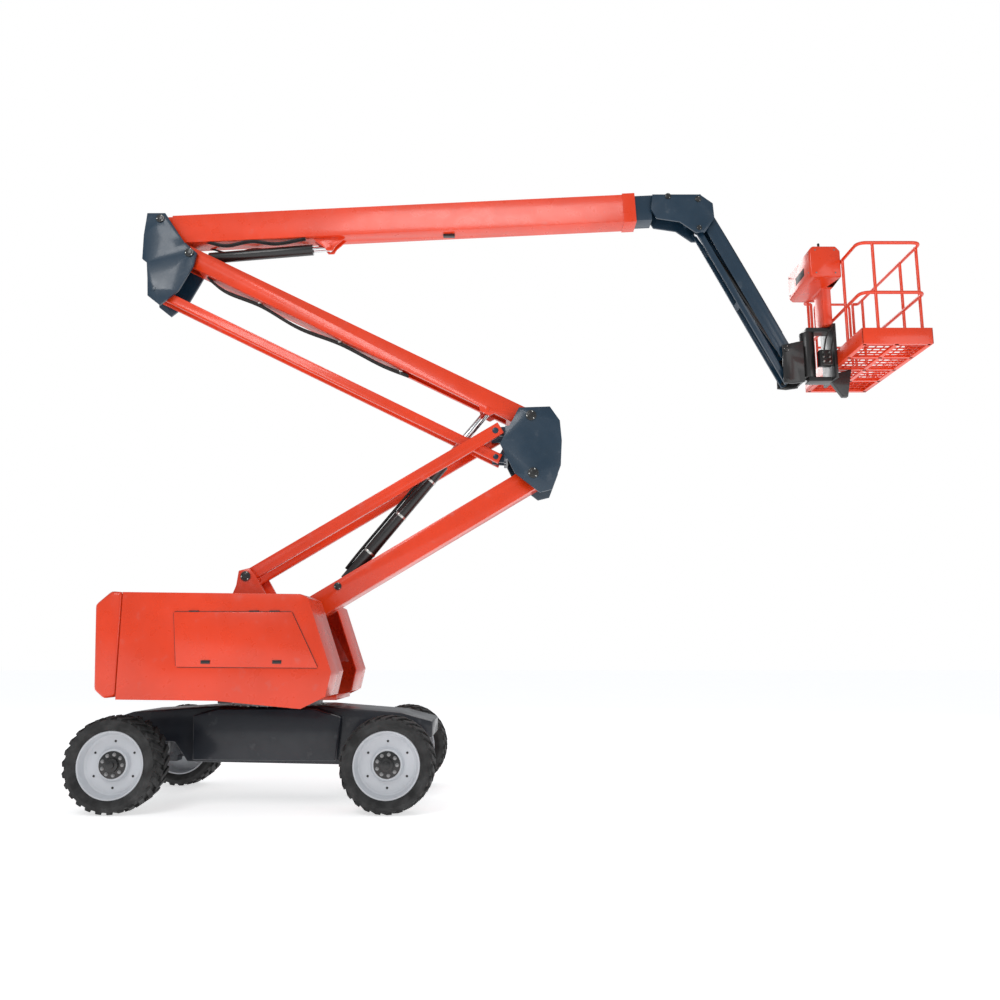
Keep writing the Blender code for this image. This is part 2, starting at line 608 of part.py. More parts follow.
def box_beam(start, angle, span, below, above, half_width, wall):
    """A rectangular tube with open ends: its outside, and the cutter for its inside."""
    outside = bar(start, angle, span, below, above, -half_width, half_width)
    reach = (span[0] - 0.1, span[1] + 0.1)
    inner_y = half_width - wall
    return outside, bar(start, angle, reach, below - wall, above - wall, -inner_y, inner_y)


def lower_arm_nodes():
    length, angle = LOWER_ARM_LENGTH, LOWER_ARM_ANGLE
    span = (-0.1, length + 0.1)
    outside, inside = box_beam(
        LOWER_ARM_FOOT, angle, span, LOWER_ARM_BELOW, LOWER_ARM_ABOVE, ARM_HALF_WIDTH, ARM_WALL
    )
    top_slot = bar(LOWER_ARM_FOOT, angle, (0.58, 1.65), -0.08, 0.2, -0.09, 0.09)
    cuts = [inside, top_slot, *bores((LOWER_ARM_FOOT, KNUCKLE_LOW_PIN), ARM_PIN_RADIUS, 0.2)]
    combine(outside, cuts, "DIFFERENCE")
    riser_pin = pin(RISER_LOW_PIN, ARM_HALF_WIDTH + PIN_PROUD, ARM_PIN_RADIUS - 0.005)
    node("lower_arm", "lower_arm", "orange_paint", [outside, riser_pin])
    inner, outer = TENSION_LINK_Y
    depth = TENSION_LINK_HALF_DEPTH
    for side, sign in SIDES.items():
        link = bar(TENSION_FOOT, angle, (-depth, length + depth), depth, depth, *sorted((sign * inner, sign * outer)))
        cuts = bores((TENSION_FOOT, TENSION_END), ARM_PIN_RADIUS, 0.3)
        node(f"tension_link_{side}", "tension_link", "orange_paint", [link], cuts)


def mid_knuckle_node():
    """Outer plates with the pins of both arms, and inner lugs for the two links."""
    outline = [
        (-0.159, 0.761), (0.193, 0.773), (0.305, 0.609), (0.325, 0.376), (0.31, 0.088),
        (0.206, -0.187), (0.072, -0.221), (-0.207, -0.004), (-0.375, 0.341),
    ]
    origin = KNUCKLE_LOW_PIN
    inner, outer = KNUCKLE_OUTER_Y
    pieces = twin_plates(offset_outline(origin, outline), inner, outer)
    pieces += [pin(centre, outer + PIN_PROUD, ARM_PIN_RADIUS) for centre in (KNUCKLE_LOW_PIN, KNUCKLE_HIGH_PIN)]
    right = origin.x + 0.27
    pieces.append(block((right, -inner - 0.01, origin.z + 0.1), (right + 0.03, inner + 0.01, origin.z + 0.56)))
    tension = [(-0.05, -0.05), (0.19, -0.05), (0.19, 0.06), (-0.05, 0.05)]
    pieces += twin_plates(offset_outline(TENSION_END, tension), 0.155, 0.185)
    for sign in SIDES.values():
        ends = sorted((sign * 0.18, sign * (inner + 0.01)))
        spacer_x = TENSION_END.x + 0.11
        pieces.append(
            block((spacer_x, ends[0], TENSION_END.z - 0.045), (spacer_x + 0.1, ends[1], TENSION_END.z + 0.05))
        )
    pieces += stub_pins(TENSION_END, 0.17, TENSION_LINK_Y[1], ARM_PIN_RADIUS)
    lug = [(-0.045, -0.045), (0.12, -0.06), (0.12, 0.06), (-0.045, 0.045)]
    pieces += twin_plates(offset_outline(LINK_LOW_PIN, lug), 0.055, 0.09)
    web_x = LINK_LOW_PIN.x + 0.095
    pieces.append(
        block((web_x, -inner - 0.01, LINK_LOW_PIN.z - 0.05), (web_x + 0.045, inner + 0.01, LINK_LOW_PIN.z + 0.05))
    )
    pieces += stub_pins(LINK_LOW_PIN, 0.07, UPPER_LINK_Y[1], ARM_PIN_RADIUS - 0.005)
    node("mid_knuckle", "mid_knuckle", "blue_paint", pieces)


def upper_arm_nodes():
    """The upper arm, open on top where the boom cylinder nests and below where the riser enters."""
    length, angle, start = UPPER_ARM_LENGTH, -UPPER_ARM_ANGLE, UPPER_ARM_END
    outside, inside = box_beam(
        start, angle, (-0.06, length + 0.09), UPPER_ARM_BELOW, UPPER_ARM_ABOVE, ARM_HALF_WIDTH, ARM_WALL
    )
    cuts = [
        inside,
        bar(start, angle, (-0.2, 2.1), -0.05, 0.2, -0.09, 0.09),
        bar(start, angle, (-0.2, 0.16), 0.2, -0.05, -0.1, 0.1),
        bar(start, angle, (length - 1.62, length - 0.25), 0.2, -0.05, -0.1, 0.1),
        bar(start, angle, (length - 1.3, length - 0.3), -0.05, 0.2, -0.09, 0.09),
        *bores((UPPER_ARM_END, KNUCKLE_HIGH_PIN), ARM_PIN_RADIUS, 0.2),
    ]
    combine(outside, cuts, "DIFFERENCE")
    riser_stubs = stub_pins(RISER_HIGH_PIN, 0.075, ARM_HALF_WIDTH + PIN_PROUD, 0.03)
    lug_outline = [
        along(RISER_HIGH_PIN, angle, distance, up)
        for distance, up in ((-0.13, 0.03), (-0.06, -0.06), (0.06, -0.06), (0.13, 0.03))
    ]
    lugs = twin_plates([(point.x, point.z) for point in lug_outline], ARM_HALF_WIDTH - 0.03, ARM_HALF_WIDTH - 0.004)
    node("upper_arm", "upper_arm", "orange_paint", [outside, *lugs, *riser_stubs])
    inner, outer = UPPER_LINK_Y
    depth = UPPER_LINK_HALF_DEPTH
    bars = [
        bar(LINK_HIGH_PIN, angle, (-depth, length + depth), depth, depth, *ends)
        for ends in ((inner, outer), (-outer, -inner))
    ]
    brace = pin(along(LINK_HIGH_PIN, angle, 0.6), inner + 0.02, 0.028)
    node(
        "upper_link", "upper_link", "orange_paint", [*bars, brace],
        bores((LINK_HIGH_PIN, LINK_LOW_PIN), ARM_PIN_RADIUS - 0.005, 0.2),
    )


def upper_knuckle_node():
    outline = [
        (-0.534, 0.505), (-0.321, 0.505), (-0.074, 0.138), (0.085, 0.0), (0.055, -0.155), (-0.107, -0.472),
        (-0.315, -0.65), (-0.463, -0.533), (-0.478, -0.323), (-0.5, -0.12), (-0.556, -0.075), (-0.558, 0.227),
    ]
    origin = UPPER_ARM_END
    inner, outer = TOP_KNUCKLE_Y
    pieces = twin_plates(offset_outline(origin, outline), inner, outer)
    web_x = origin.x - 0.54
    pieces.append(block((web_x, -inner - 0.01, origin.z - 0.06), (web_x + 0.03, inner + 0.01, origin.z + 0.42)))
    reach = BOOM_CYLINDER_FOOT
    inner_lug = [(-0.52, -0.045), (reach.x, reach.z - 0.045), (reach.x + 0.045, reach.z), (reach.x, reach.z + 0.045), (-0.52, 0.05)]
    pieces += twin_plates(offset_outline(origin, inner_lug), 0.042, 0.062)
    pieces += stub_pins(UPPER_ARM_END, 0.1, outer + PIN_PROUD, ARM_PIN_RADIUS)
    pieces.append(pin(LINK_HIGH_PIN, outer + PIN_PROUD, ARM_PIN_RADIUS - 0.005))
    pieces.append(pin(BOOM_FOOT, outer + PIN_PROUD, ARM_PIN_RADIUS - 0.005, 16))
    pieces.append(pin(BOOM_CYLINDER_PIN, 0.066, 0.025, 16))
    node("upper_knuckle", "upper_knuckle", "blue_paint", pieces)


def cylinder_nodes(name, foot, eye, barrel_length, buried, radii, eye_radii, foot_pin):
    """A barrel on its foot pin, and the rod that slides in it and ends in an open eye."""
    barrel_radius, rod_radius = radii
    direction = (eye - foot).normalized()
    half_eye = min(barrel_radius, rod_radius) * 0.9
    foot_boss = pin(foot, half_eye, eye_radii[0], 16)
    barrel_start = foot + direction * (eye_radii[0] + NECK_LENGTH)
    neck = rod(foot, barrel_start + direction * 0.01, half_eye * 0.9)
    barrel = rod(barrel_start, foot + direction * barrel_length, barrel_radius)
    bore_start = barrel_start + direction * NECK_LENGTH
    bore = rod(bore_start, foot + direction * (barrel_length + 0.1), rod_radius + SLIDE_CLEARANCE)
    foot_bore = pin(foot, barrel_radius + 0.02, foot_pin + PIN_CLEARANCE)
    node(f"{name}_barrel", f"{name}_barrel", "black_paint", [barrel, neck, foot_boss], [bore, foot_bore])
    rod_start = foot + direction * (barrel_length - buried)
    shaft = rod(rod_start, eye - direction * eye_radii[1] * 0.5, rod_radius)
    eye_boss = pin(eye, half_eye, eye_radii[1], 16)
    eye_bore = pin(eye, half_eye + 0.02, eye_radii[1] * 0.5)
    node(f"{name}_rod", f"{name}_rod", "chrome", [shaft, eye_boss], [eye_bore])


def boom_nodes():
    angle, start = BOOM_ANGLE, BOOM_FOOT
    half = BOOM_HALF_WIDTH
    outside, inside = box_beam(start, angle, (BOOM_START, BOOM_LENGTH), BOOM_BELOW, BOOM_ABOVE, half, BOOM_WALL)
    collar = bar(
        start, angle, (BOOM_LENGTH - COLLAR_LENGTH, BOOM_LENGTH), BOOM_BELOW + COLLAR_RIM,
        BOOM_ABOVE + COLLAR_RIM, -half - COLLAR_RIM, half + COLLAR_RIM,
    )
    heel = [bar(start, angle, (-0.055, 0.3), 0.055, 0.055, *ends) for ends in ((half - 0.025, half - 0.001), (0.001 - half, 0.025 - half))]
    lug_outline = [
        along(start, angle, BOOM_LUG_ALONG + distance, up)
        for distance, up in (
            (-0.2, -BOOM_BELOW + 0.005), (-0.05, -BOOM_LUG_DOWN - 0.02), (-0.03, -BOOM_LUG_DOWN - 0.05),
            (0.04, -BOOM_LUG_DOWN - 0.05), (0.07, -BOOM_LUG_DOWN), (0.2, -BOOM_BELOW + 0.005),
        )
    ]
    lugs = twin_plates([(point.x, point.z) for point in lug_outline], 0.04, 0.06)
    pieces = [outside, collar, *heel, *lugs, *stub_pins(BOOM_LUG_PIN, 0.05, 0.075, 0.03)]
    node("boom", "boom", "orange_paint", pieces, [inside, *bores((BOOM_FOOT,), ARM_PIN_RADIUS - 0.005, 0.2)])
    inset = BOOM_WALL + SLIDE_CLEARANCE
    fly_half = half - inset
    outside, inside = box_beam(start, angle, (FLY_START, FLY_END), BOOM_BELOW - inset, BOOM_ABOVE - inset, fly_half, BOOM_WALL)
    ears = [
        bar(start, angle, (FLY_END - 0.1, NOSE_PIN_ALONG + 0.05), 0.05, BOOM_ABOVE - inset, *ends)
        for ends in ((fly_half - 0.022, fly_half - 0.001), (0.001 - fly_half, 0.022 - fly_half))
    ]
    node("fly_boom", "fly_boom", "blue_paint", [outside, *ears], [inside, *bores((NOSE_PIN,), JIB_PIN_RADIUS, 0.2)])


def jib_nodes():
    inner, outer = MOUNT_Y
    outline = [
        (-0.186, 0.026), (0.387, 0.026), (0.538, -0.09), (0.55, -0.28), (0.43, -0.46), (0.32, -0.46),
        (0.134, -0.323), (-0.14, -0.28), (-0.206, -0.168),
    ]
    pieces = twin_plates(offset_outline(NOSE_PIN, outline), inner, outer)
    web = [(0.15, -0.02), (0.17, -0.02), (0.26, -0.29), (0.24, -0.29)]
    pieces.append(plate(offset_outline(NOSE_PIN, web), -inner - 0.01, inner + 0.01))
    pieces += [pin(centre, outer + PIN_PROUD, JIB_PIN_RADIUS) for centre in (NOSE_PIN, JIB_TOP_PIN)]
    pieces += stub_pins(JIB_LOW_PIN, 0.05, outer + PIN_PROUD, JIB_PIN_RADIUS - 0.005)
    node("jib_mount", "jib_mount", "blue_paint", pieces)

    angle, length, half = JIB_ANGLE, JIB_LENGTH, JIB_HALF_WIDTH
    depth = JIB_HALF_DEPTH
    outside = bar(JIB_TOP_PIN, angle, (-0.07, length + 0.06), depth, depth, -half, half)
    channel = half - JIB_WALL
    inside = bar(JIB_TOP_PIN, angle, (-0.2, length + 0.2), depth + 0.1, depth - JIB_WALL, -channel, channel)
    node(
        "jib", "jib", "blue_paint", [outside],
        [inside, *bores((JIB_TOP_PIN, PLATFORM_TOP_PIN), JIB_PIN_RADIUS, 0.2)],
    )
    depth = JIB_LINK_HALF_DEPTH
    bars = [
        bar(JIB_LOW_PIN, angle, (-depth, length + depth), depth, depth, *ends)
        for ends in (JIB_LINK_Y, (-JIB_LINK_Y[1], -JIB_LINK_Y[0]))
    ]
    brace = bar(JIB_LOW_PIN, angle, (1.0, 1.08), depth, -depth + 0.012, -JIB_LINK_Y[0] - 0.005, JIB_LINK_Y[0] + 0.005)
    node(
        "jib_link", "jib_link", "blue_paint", [*bars, brace],
        bores((JIB_LOW_PIN, PLATFORM_LOW_PIN), JIB_PIN_RADIUS - 0.005, 0.2),
    )


def platform_mount_node():
    inner, outer = MOUNT_Y
    origin = PLATFORM_TOP_PIN
    outline = [(-0.045, 0.045), (0.15, 0.09), (0.2, 0.09), (0.2, -0.4), (0.06, -0.42), (-0.045, -0.41)]
    pieces = twin_plates(offset_outline(origin, outline), inner, outer)
    pieces.append(block((origin.x + 0.175, -outer, origin.z - 0.39), (origin.x + 0.2, outer, origin.z + 0.08)))
    low, high = Vector((0, 0, -0.32)), Vector((0, 0, 0.23))
    pieces.append(rod(ROTATOR + low, ROTATOR + high, ROTATOR_RADIUS, 24))
    pieces.append(block((origin.x + 0.19, -0.06, origin.z - 0.28), (ROTATOR.x, 0.06, origin.z + 0.05)))
    pieces.append(pin(origin, outer + PIN_PROUD, JIB_PIN_RADIUS))
    pieces += stub_pins(PLATFORM_LOW_PIN, 0.05, outer + PIN_PROUD, JIB_PIN_RADIUS - 0.005)
    spindle = rod(ROTATOR + low * 1.2, ROTATOR + high * 1.2, 0.03 + PIN_CLEARANCE, 16)
    node("platform_mount", "platform_mount", "black_paint", pieces, [spindle])


def rounded(points, radius, steps=3):
    """The points of a path in plan, with its inner corners rounded."""
    path = [Vector(points[0])]
    for before, corner, after in zip(points, points[1:], points[2:]):
        before, corner, after = Vector(before), Vector(corner), Vector(after)
        start = corner + (before - corner).normalized() * radius
        end = corner + (after - corner).normalized() * radius
        for step in range(steps + 1):
            share = step / steps
            path.append((1 - share) ** 2 * start + 2 * share * (1 - share) * corner + share**2 * end)
    path.append(Vector(points[-1]))
    return path


def platform_nodes():
    half = PLATFORM_HALF_WIDTH
    low, high = (PLATFORM_X, -half, FLOOR_Z), (PLATFORM_END_X, half, FLOOR_Z + TOE_BOARD_HEIGHT)
    wall = TOE_BOARD_WALL
    hollow = block(
        (PLATFORM_X + wall, -half + wall, FLOOR_Z + FLOOR_THICKNESS), (PLATFORM_END_X - wall, half - wall, FLOOR_Z + 0.5)
    )
    node("platform_floor", "platform", "orange_paint", [block(low, high)], [hollow])

    back, front = PLATFORM_X + RAIL_INSET, PLATFORM_END_X - RAIL_INSET
    side = half - RAIL_INSET
    latch_x = GATE_HINGE_X + GATE_WIDTH
    foot_z = FLOOR_Z + FLOOR_THICKNESS + TOUCH_GAP
    pieces = []
    for height in (TOP_RAIL_HEIGHT, MID_RAIL_HEIGHT):
        z = FLOOR_Z + height
        corners = [
            (GATE_HINGE_X, side, z), (back, side, z), (back, -side, z), (front, -side, z), (front, side, z), (latch_x, side, z),
        ]
        pieces.append(tube(rounded(corners, min(RAIL_CORNER, (GATE_HINGE_X - back) * 0.8, (front - latch_x) * 0.8)), RAIL_TUBE_RADIUS))
    top = FLOOR_Z + TOP_RAIL_HEIGHT
    posts = [(GATE_HINGE_X, side), (latch_x, side)]
    posts += [(back + 0.16, -side), (front, -side * 0.86), (front, -side * 0.4), (front, side * 0.84)]
    posts += [(back, -side * 0.5), (back, side * 0.35), (back, side * 0.84)]
    for x, y in posts:
        pieces.append(rod((x, y, foot_z), (x, y, top), RAIL_TUBE_RADIUS * 0.92, 8))
    node("platform_rails", "platform", "orange_paint", pieces)

    gate_low, gate_high = GATE_HINGE_X + GATE_GAP, latch_x - GATE_GAP
    low_z, high_z = FLOOR_Z + TOE_BOARD_HEIGHT + 0.04, top
    frame = [(gate_low, side, low_z), (gate_low, side, high_z), (gate_high, side, high_z), (gate_high, side, low_z)]
    loop = tube([Vector(point) for point in frame], RAIL_TUBE_RADIUS * 0.85, cyclic=True)
    middle = FLOOR_Z + MID_RAIL_HEIGHT
    cross = rod((gate_low, side, middle), (gate_high, side, middle), RAIL_TUBE_RADIUS * 0.8, 8)
    node("platform_gate", "gate", "orange_paint", [loop, cross])

    origin_z = PLATFORM_TOP_PIN.z
    box_x = back - RAIL_TUBE_RADIUS - TOUCH_GAP * 5
    box_z = FLOOR_Z + CONTROL_BOX_BASE
    box_top = box_z + CONTROL_BOX_HEIGHT
    box_left = box_x - CONTROL_BOX_DEPTH
    outline = [
        (box_left, box_z + 0.04), (box_left + 0.04, box_z), (box_x, box_z), (box_x, box_top - 0.06), (box_x - 0.05, box_top),
        (box_left + 0.04, box_top), (box_left, box_top - 0.05),
    ]
    column_x = PLATFORM_X - TOUCH_GAP * 2
    column = block(
        (column_x - COLUMN_DEPTH, -COLUMN_HALF_WIDTH, origin_z + BRACKET_TOP + TOUCH_GAP),
        (column_x, COLUMN_HALF_WIDTH, box_z + 0.03),
    )
    node("control_box", "platform", "orange_paint", [plate(outline, *CONTROL_BOX_Y), column])

    face = PLATFORM_X - TOUCH_GAP
    top_z, low_z = origin_z + 0.23 + PIN_CLEARANCE, origin_z - 0.32 - PIN_CLEARANCE
    pieces = [
        block((face - 0.035, -0.2, low_z - 0.05), (face, 0.2, origin_z + BRACKET_TOP)),
        block((ROTATOR.x - 0.02, -0.078, top_z), (face - 0.01, 0.078, top_z + 0.05)),
        block((ROTATOR.x - 0.02, -0.078, low_z - 0.05), (face - 0.01, 0.078, low_z)),
        rod((ROTATOR.x, 0, low_z - 0.02), (ROTATOR.x, 0, top_z + 0.02), 0.03, 16),
        plate([(face - 0.03, low_z + 0.04), (face + 0.22, FLOOR_Z - TOUCH_GAP), (face + 0.16, 4.5), (face + 0.1, 4.5), (face - 0.03, low_z - 0.04)], -0.03, 0.03),
    ]
    node("platform_bracket", "platform", "black_paint", pieces)


def main():
    make_bodies()
    axle_nodes()
    chassis_node()
    wheel_nodes()
    turntable_nodes()
    lower_arm_nodes()
    mid_knuckle_node()
    upper_arm_nodes()
    upper_knuckle_node()
    cylinder_nodes(
        "riser", RISER_LOW_PIN, RISER_HIGH_PIN, RISER_BARREL_LENGTH, RISER_ROD_BURIED,
        (RISER_BARREL_RADIUS, RISER_ROD_RADIUS), (0.07, 0.055), ARM_PIN_RADIUS - 0.005,
    )
    boom_nodes()
    cylinder_nodes(
        "boom", BOOM_CYLINDER_PIN, BOOM_LUG_PIN, BOOM_BARREL_LENGTH, BOOM_ROD_BURIED,
        (BOOM_BARREL_RADIUS, BOOM_ROD_RADIUS), (0.052, 0.042), 0.025,
    )
    jib_nodes()
    cylinder_nodes(
        "jib", PLATFORM_TOP_PIN, JIB_LOW_PIN, JIB_BARREL_LENGTH, JIB_ROD_BURIED,
        (JIB_BARREL_RADIUS, JIB_ROD_RADIUS), (0.042, 0.035), JIB_PIN_RADIUS,
    )
    platform_mount_node()
    platform_nodes()


main()
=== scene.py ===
"""Finished looks of an articulating boom lift, laid out as an add-on and run as a script.

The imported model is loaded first. Each operator adds one group of pieces in metres, in the model's own frame.
"""

import json
import math

import bpy
from mathutils import Matrix, Vector


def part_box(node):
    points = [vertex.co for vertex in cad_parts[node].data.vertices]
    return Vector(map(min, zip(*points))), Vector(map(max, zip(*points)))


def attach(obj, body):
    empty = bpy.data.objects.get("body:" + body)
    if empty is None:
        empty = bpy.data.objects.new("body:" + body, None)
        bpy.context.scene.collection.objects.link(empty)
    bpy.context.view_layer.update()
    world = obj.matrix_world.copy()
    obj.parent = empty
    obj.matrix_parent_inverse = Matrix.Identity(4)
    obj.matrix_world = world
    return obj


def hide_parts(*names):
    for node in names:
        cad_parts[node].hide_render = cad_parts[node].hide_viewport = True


bl_info = {
    "name": "Boom Lift Finish",
    "version": (1, 0, 0),
    "blender": (4, 5, 0),
    "location": "View3D > Sidebar > Boom Lift",
    "description": "Paint, tyres, rails, hoses and fittings for an articulating boom lift",
    "category": "Object",
}

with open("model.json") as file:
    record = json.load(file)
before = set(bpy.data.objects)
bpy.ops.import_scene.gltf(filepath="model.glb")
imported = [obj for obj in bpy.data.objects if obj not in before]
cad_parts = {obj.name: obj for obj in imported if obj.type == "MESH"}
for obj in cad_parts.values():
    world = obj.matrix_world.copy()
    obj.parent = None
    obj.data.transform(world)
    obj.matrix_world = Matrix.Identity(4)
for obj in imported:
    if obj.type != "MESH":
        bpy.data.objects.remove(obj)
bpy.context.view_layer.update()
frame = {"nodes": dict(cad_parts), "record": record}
NODE_BODY = {node: body for body, nodes in frame["record"]["behaviour"]["bodies"].items() for node in nodes}
NODE_SLOT = {part["node"]: part["material_slot"] for part in frame["record"]["subparts"]}
SIDES = (("near", -1), ("far", 1))
WHEELS = [f"{axle}_wheel_{side}" for axle in ("steer", "drive") for side, _ in SIDES]

# The valve block beside the rotator: its near face, and its fittings back from the bracket's front.
VALVE_FACE = -0.19
VALVE_BACK = 0.385
VALVE_PITCH = 0.07


def joint(name):
    """The record's joint of this name."""
    return next(entry for entry in frame["record"]["behaviour"]["joints"] if entry["name"] == name)


def pivot(name):
    return Vector(joint(name)["pos_m"])


def middle(node):
    low, high = (Vector(corner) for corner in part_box(node))
    return (low + high) / 2


# ---------------------------------------------------------------- materials


def shader_of(name, base, roughness, metallic=0.0, coat=0.0):
    """A new material and its Principled shader, with the values that are the same all over."""
    material = bpy.data.materials.new(name)
    material.use_nodes = True
    nodes, links = material.node_tree.nodes, material.node_tree.links
    shader = nodes["Principled BSDF"]
    shader.inputs["Base Color"].default_value = (*base, 1.0)
    shader.inputs["Roughness"].default_value = roughness
    shader.inputs["Metallic"].default_value = metallic
    shader.inputs["Coat Weight"].default_value = coat
    shader.inputs["Coat Roughness"].default_value = 0.12
    return material, nodes, links, shader


def add_noise(nodes, links, scale, detail=4.0, stretch=(1.0, 1.0, 1.0)):
    """A noise texture on Object coordinates."""
    coordinates = nodes.new("ShaderNodeTexCoord")
    mapping = nodes.new("ShaderNodeMapping")
    mapping.inputs["Scale"].default_value = stretch
    noise = nodes.new("ShaderNodeTexNoise")
    noise.inputs["Scale"].default_value = scale
    noise.inputs["Detail"].default_value = detail
    links.new(coordinates.outputs["Object"], mapping.inputs["Vector"])
    links.new(mapping.outputs["Vector"], noise.inputs["Vector"])
    return noise


def add_ramp(nodes, links, source, stops):
    ramp = nodes.new("ShaderNodeValToRGB")
    while len(ramp.color_ramp.elements) < len(stops):
        ramp.color_ramp.elements.new(0.5)
    for element, (position, colour) in zip(ramp.color_ramp.elements, stops):
        element.position = position
        element.color = (*colour, 1.0)
    links.new(source, ramp.inputs["Fac"])
    return ramp


def add_bump(nodes, links, shader, source, strength, distance):
    bump = nodes.new("ShaderNodeBump")
    bump.inputs["Strength"].default_value = strength
    bump.inputs["Distance"].default_value = distance
    links.new(source, bump.inputs["Height"])
    links.new(bump.outputs["Normal"], shader.inputs["Normal"])


def grey(value):
    return (value, value, value)


def scaled(colour, factor):
    return tuple(min(1.0, channel * factor) for channel in colour)


def paint(name, colour, roughness, dust=grey(0.35)):
    """Sprayed machine paint: slow colour drift, specks of dust and orange-peel bump."""
    material, nodes, links, shader = shader_of(name, colour, roughness, coat=0.35)
    drift = add_noise(nodes, links, 1.4, 6.0)
    tones = ((0.3, scaled(colour, 0.9)), (0.7, scaled(colour, 1.08)))
    ramp = add_ramp(nodes, links, drift.outputs["Fac"], tones)
    grime = add_noise(nodes, links, 7.0, 9.0)
    specks = add_ramp(nodes, links, grime.outputs["Fac"], ((0.62, grey(0.0)), (0.8, grey(0.16))))
    mixed = nodes.new("ShaderNodeMix")
    mixed.data_type = "RGBA"
    links.new(specks.outputs["Color"], mixed.inputs["Factor"])
    links.new(ramp.outputs["Color"], mixed.inputs["A"])
    mixed.inputs["B"].default_value = (*dust, 1.0)
    links.new(mixed.outputs["Result"], shader.inputs["Base Color"])
    gloss = ((0.35, grey(roughness * 0.85)), (0.75, grey(roughness * 1.35)))
    sheen = add_ramp(nodes, links, grime.outputs["Fac"], gloss)
    links.new(sheen.outputs["Color"], shader.inputs["Roughness"])
    peel = add_noise(nodes, links, 190.0, 2.0)
    add_bump(nodes, links, shader, peel.outputs["Fac"], 0.12, 0.0006)
    return material


def bare_metal(name, colour, roughness):
    """Turned or hard-chromed steel with fine lines and an oil film."""
    material, nodes, links, shader = shader_of(name, colour, roughness, metallic=1.0)
    film = add_noise(nodes, links, 24.0, 5.0, (1.0, 6.0, 1.0))
    gloss = ((0.3, grey(roughness * 0.6)), (0.75, grey(roughness * 1.7)))
    ramp = add_ramp(nodes, links, film.outputs["Fac"], gloss)
    links.new(ramp.outputs["Color"], shader.inputs["Roughness"])
    add_bump(nodes, links, shader, film.outputs["Fac"], 0.05, 0.0004)
    return material


def rubber(name, colour, dusty):
    """Moulded rubber, greyer where dust lies on it."""
    material, nodes, links, shader = shader_of(name, colour, 0.82)
    dust = add_noise(nodes, links, 9.0, 8.0)
    ramp = add_ramp(nodes, links, dust.outputs["Fac"], ((0.35, colour), (0.75, dusty)))
    links.new(ramp.outputs["Color"], shader.inputs["Base Color"])
    grain = add_noise(nodes, links, 320.0, 2.0)
    add_bump(nodes, links, shader, grain.outputs["Fac"], 0.25, 0.0008)
    return material


def plastic(name, colour, roughness):
    material, nodes, links, shader = shader_of(name, colour, roughness)
    grain = add_noise(nodes, links, 420.0, 2.0)
    add_bump(nodes, links, shader, grain.outputs["Fac"], 0.3, 0.0005)
    wear = add_noise(nodes, links, 11.0, 6.0)
    ramp = add_ramp(nodes, links, wear.outputs["Fac"], ((0.3, colour), (0.8, scaled(colour, 1.6))))
    links.new(ramp.outputs["Color"], shader.inputs["Base Color"])
    return material


MATERIALS = {}


def make_materials(colours):
    MATERIALS.update(
        orange_paint=paint("orange_machine_paint", tuple(colours.orange), 0.3),
        blue_paint=paint("blue_machine_paint", tuple(colours.blue), 0.36),
        chassis_paint=paint("chassis_dark_paint", tuple(colours.chassis), 0.42),
        black_paint=paint("black_fitting_paint", grey(0.012), 0.38, grey(0.12)),
        chrome=bare_metal("hard_chrome", (0.78, 0.79, 0.8), 0.14),
        pin_steel=bare_metal("greased_steel", grey(0.3), 0.38),
        rubber=rubber("tyre_rubber", grey(0.012), grey(0.05)),
        hose_rubber=rubber("hose_rubber", grey(0.01), grey(0.03)),
        rim_paint=paint("rim_pale_paint", tuple(colours.rim), 0.4, (0.3, 0.26, 0.22)),
        dark_plastic=plastic("dark_moulded_plastic", grey(0.02), 0.5),
        red_plastic=plastic("red_stop_button", (0.6, 0.02, 0.015), 0.3),
        zinc=bare_metal("zinc_fitting", (0.6, 0.61, 0.58), 0.3),
    )


# ---------------------------------------------------------------- modelling helpers


def deselect():
    if bpy.context.object and bpy.context.object.mode != "OBJECT":
        bpy.ops.object.mode_set(mode="OBJECT")
    bpy.ops.object.select_all(action="DESELECT")


def make_active(piece):
    deselect()
    piece.select_set(True)
    bpy.context.view_layer.objects.active = piece


def dress(piece, name, body, finish, smooth=35.0):
    """Names the piece, bakes its place into its mesh, and gives it its finish and body."""
    make_active(piece)
    bpy.ops.object.transform_apply(location=True, rotation=True, scale=True)
    bpy.ops.object.shade_smooth_by_angle(angle=math.radians(smooth))
    piece.name = name
    piece.data.materials.clear()
    piece.data.materials.append(MATERIALS[finish])
    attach(piece, body)
    return piece


def apply_modifier(piece, kind, **settings):
    make_active(piece)
    bpy.ops.object.modifier_add(type=kind)
    modifier = piece.modifiers[-1]
    for key, value in settings.items():
        setattr(modifier, key, value)
    bpy.ops.object.modifier_apply(modifier=modifier.name)


def bevelled_box(low, high, width=0.004):
    """A box between two corners, with rounded edges."""
    deselect()
    low, high = Vector(low), Vector(high)
    bpy.ops.mesh.primitive_cube_add(size=1.0, location=(low + high) / 2)
    piece = bpy.context.object
    piece.scale = high - low
    bpy.ops.object.transform_apply(location=True, rotation=True, scale=True)
    smallest = min(high - low)
    apply_modifier(piece, "BEVEL", width=min(width, smallest * 0.3), segments=2, limit_method="ANGLE")
    return piece


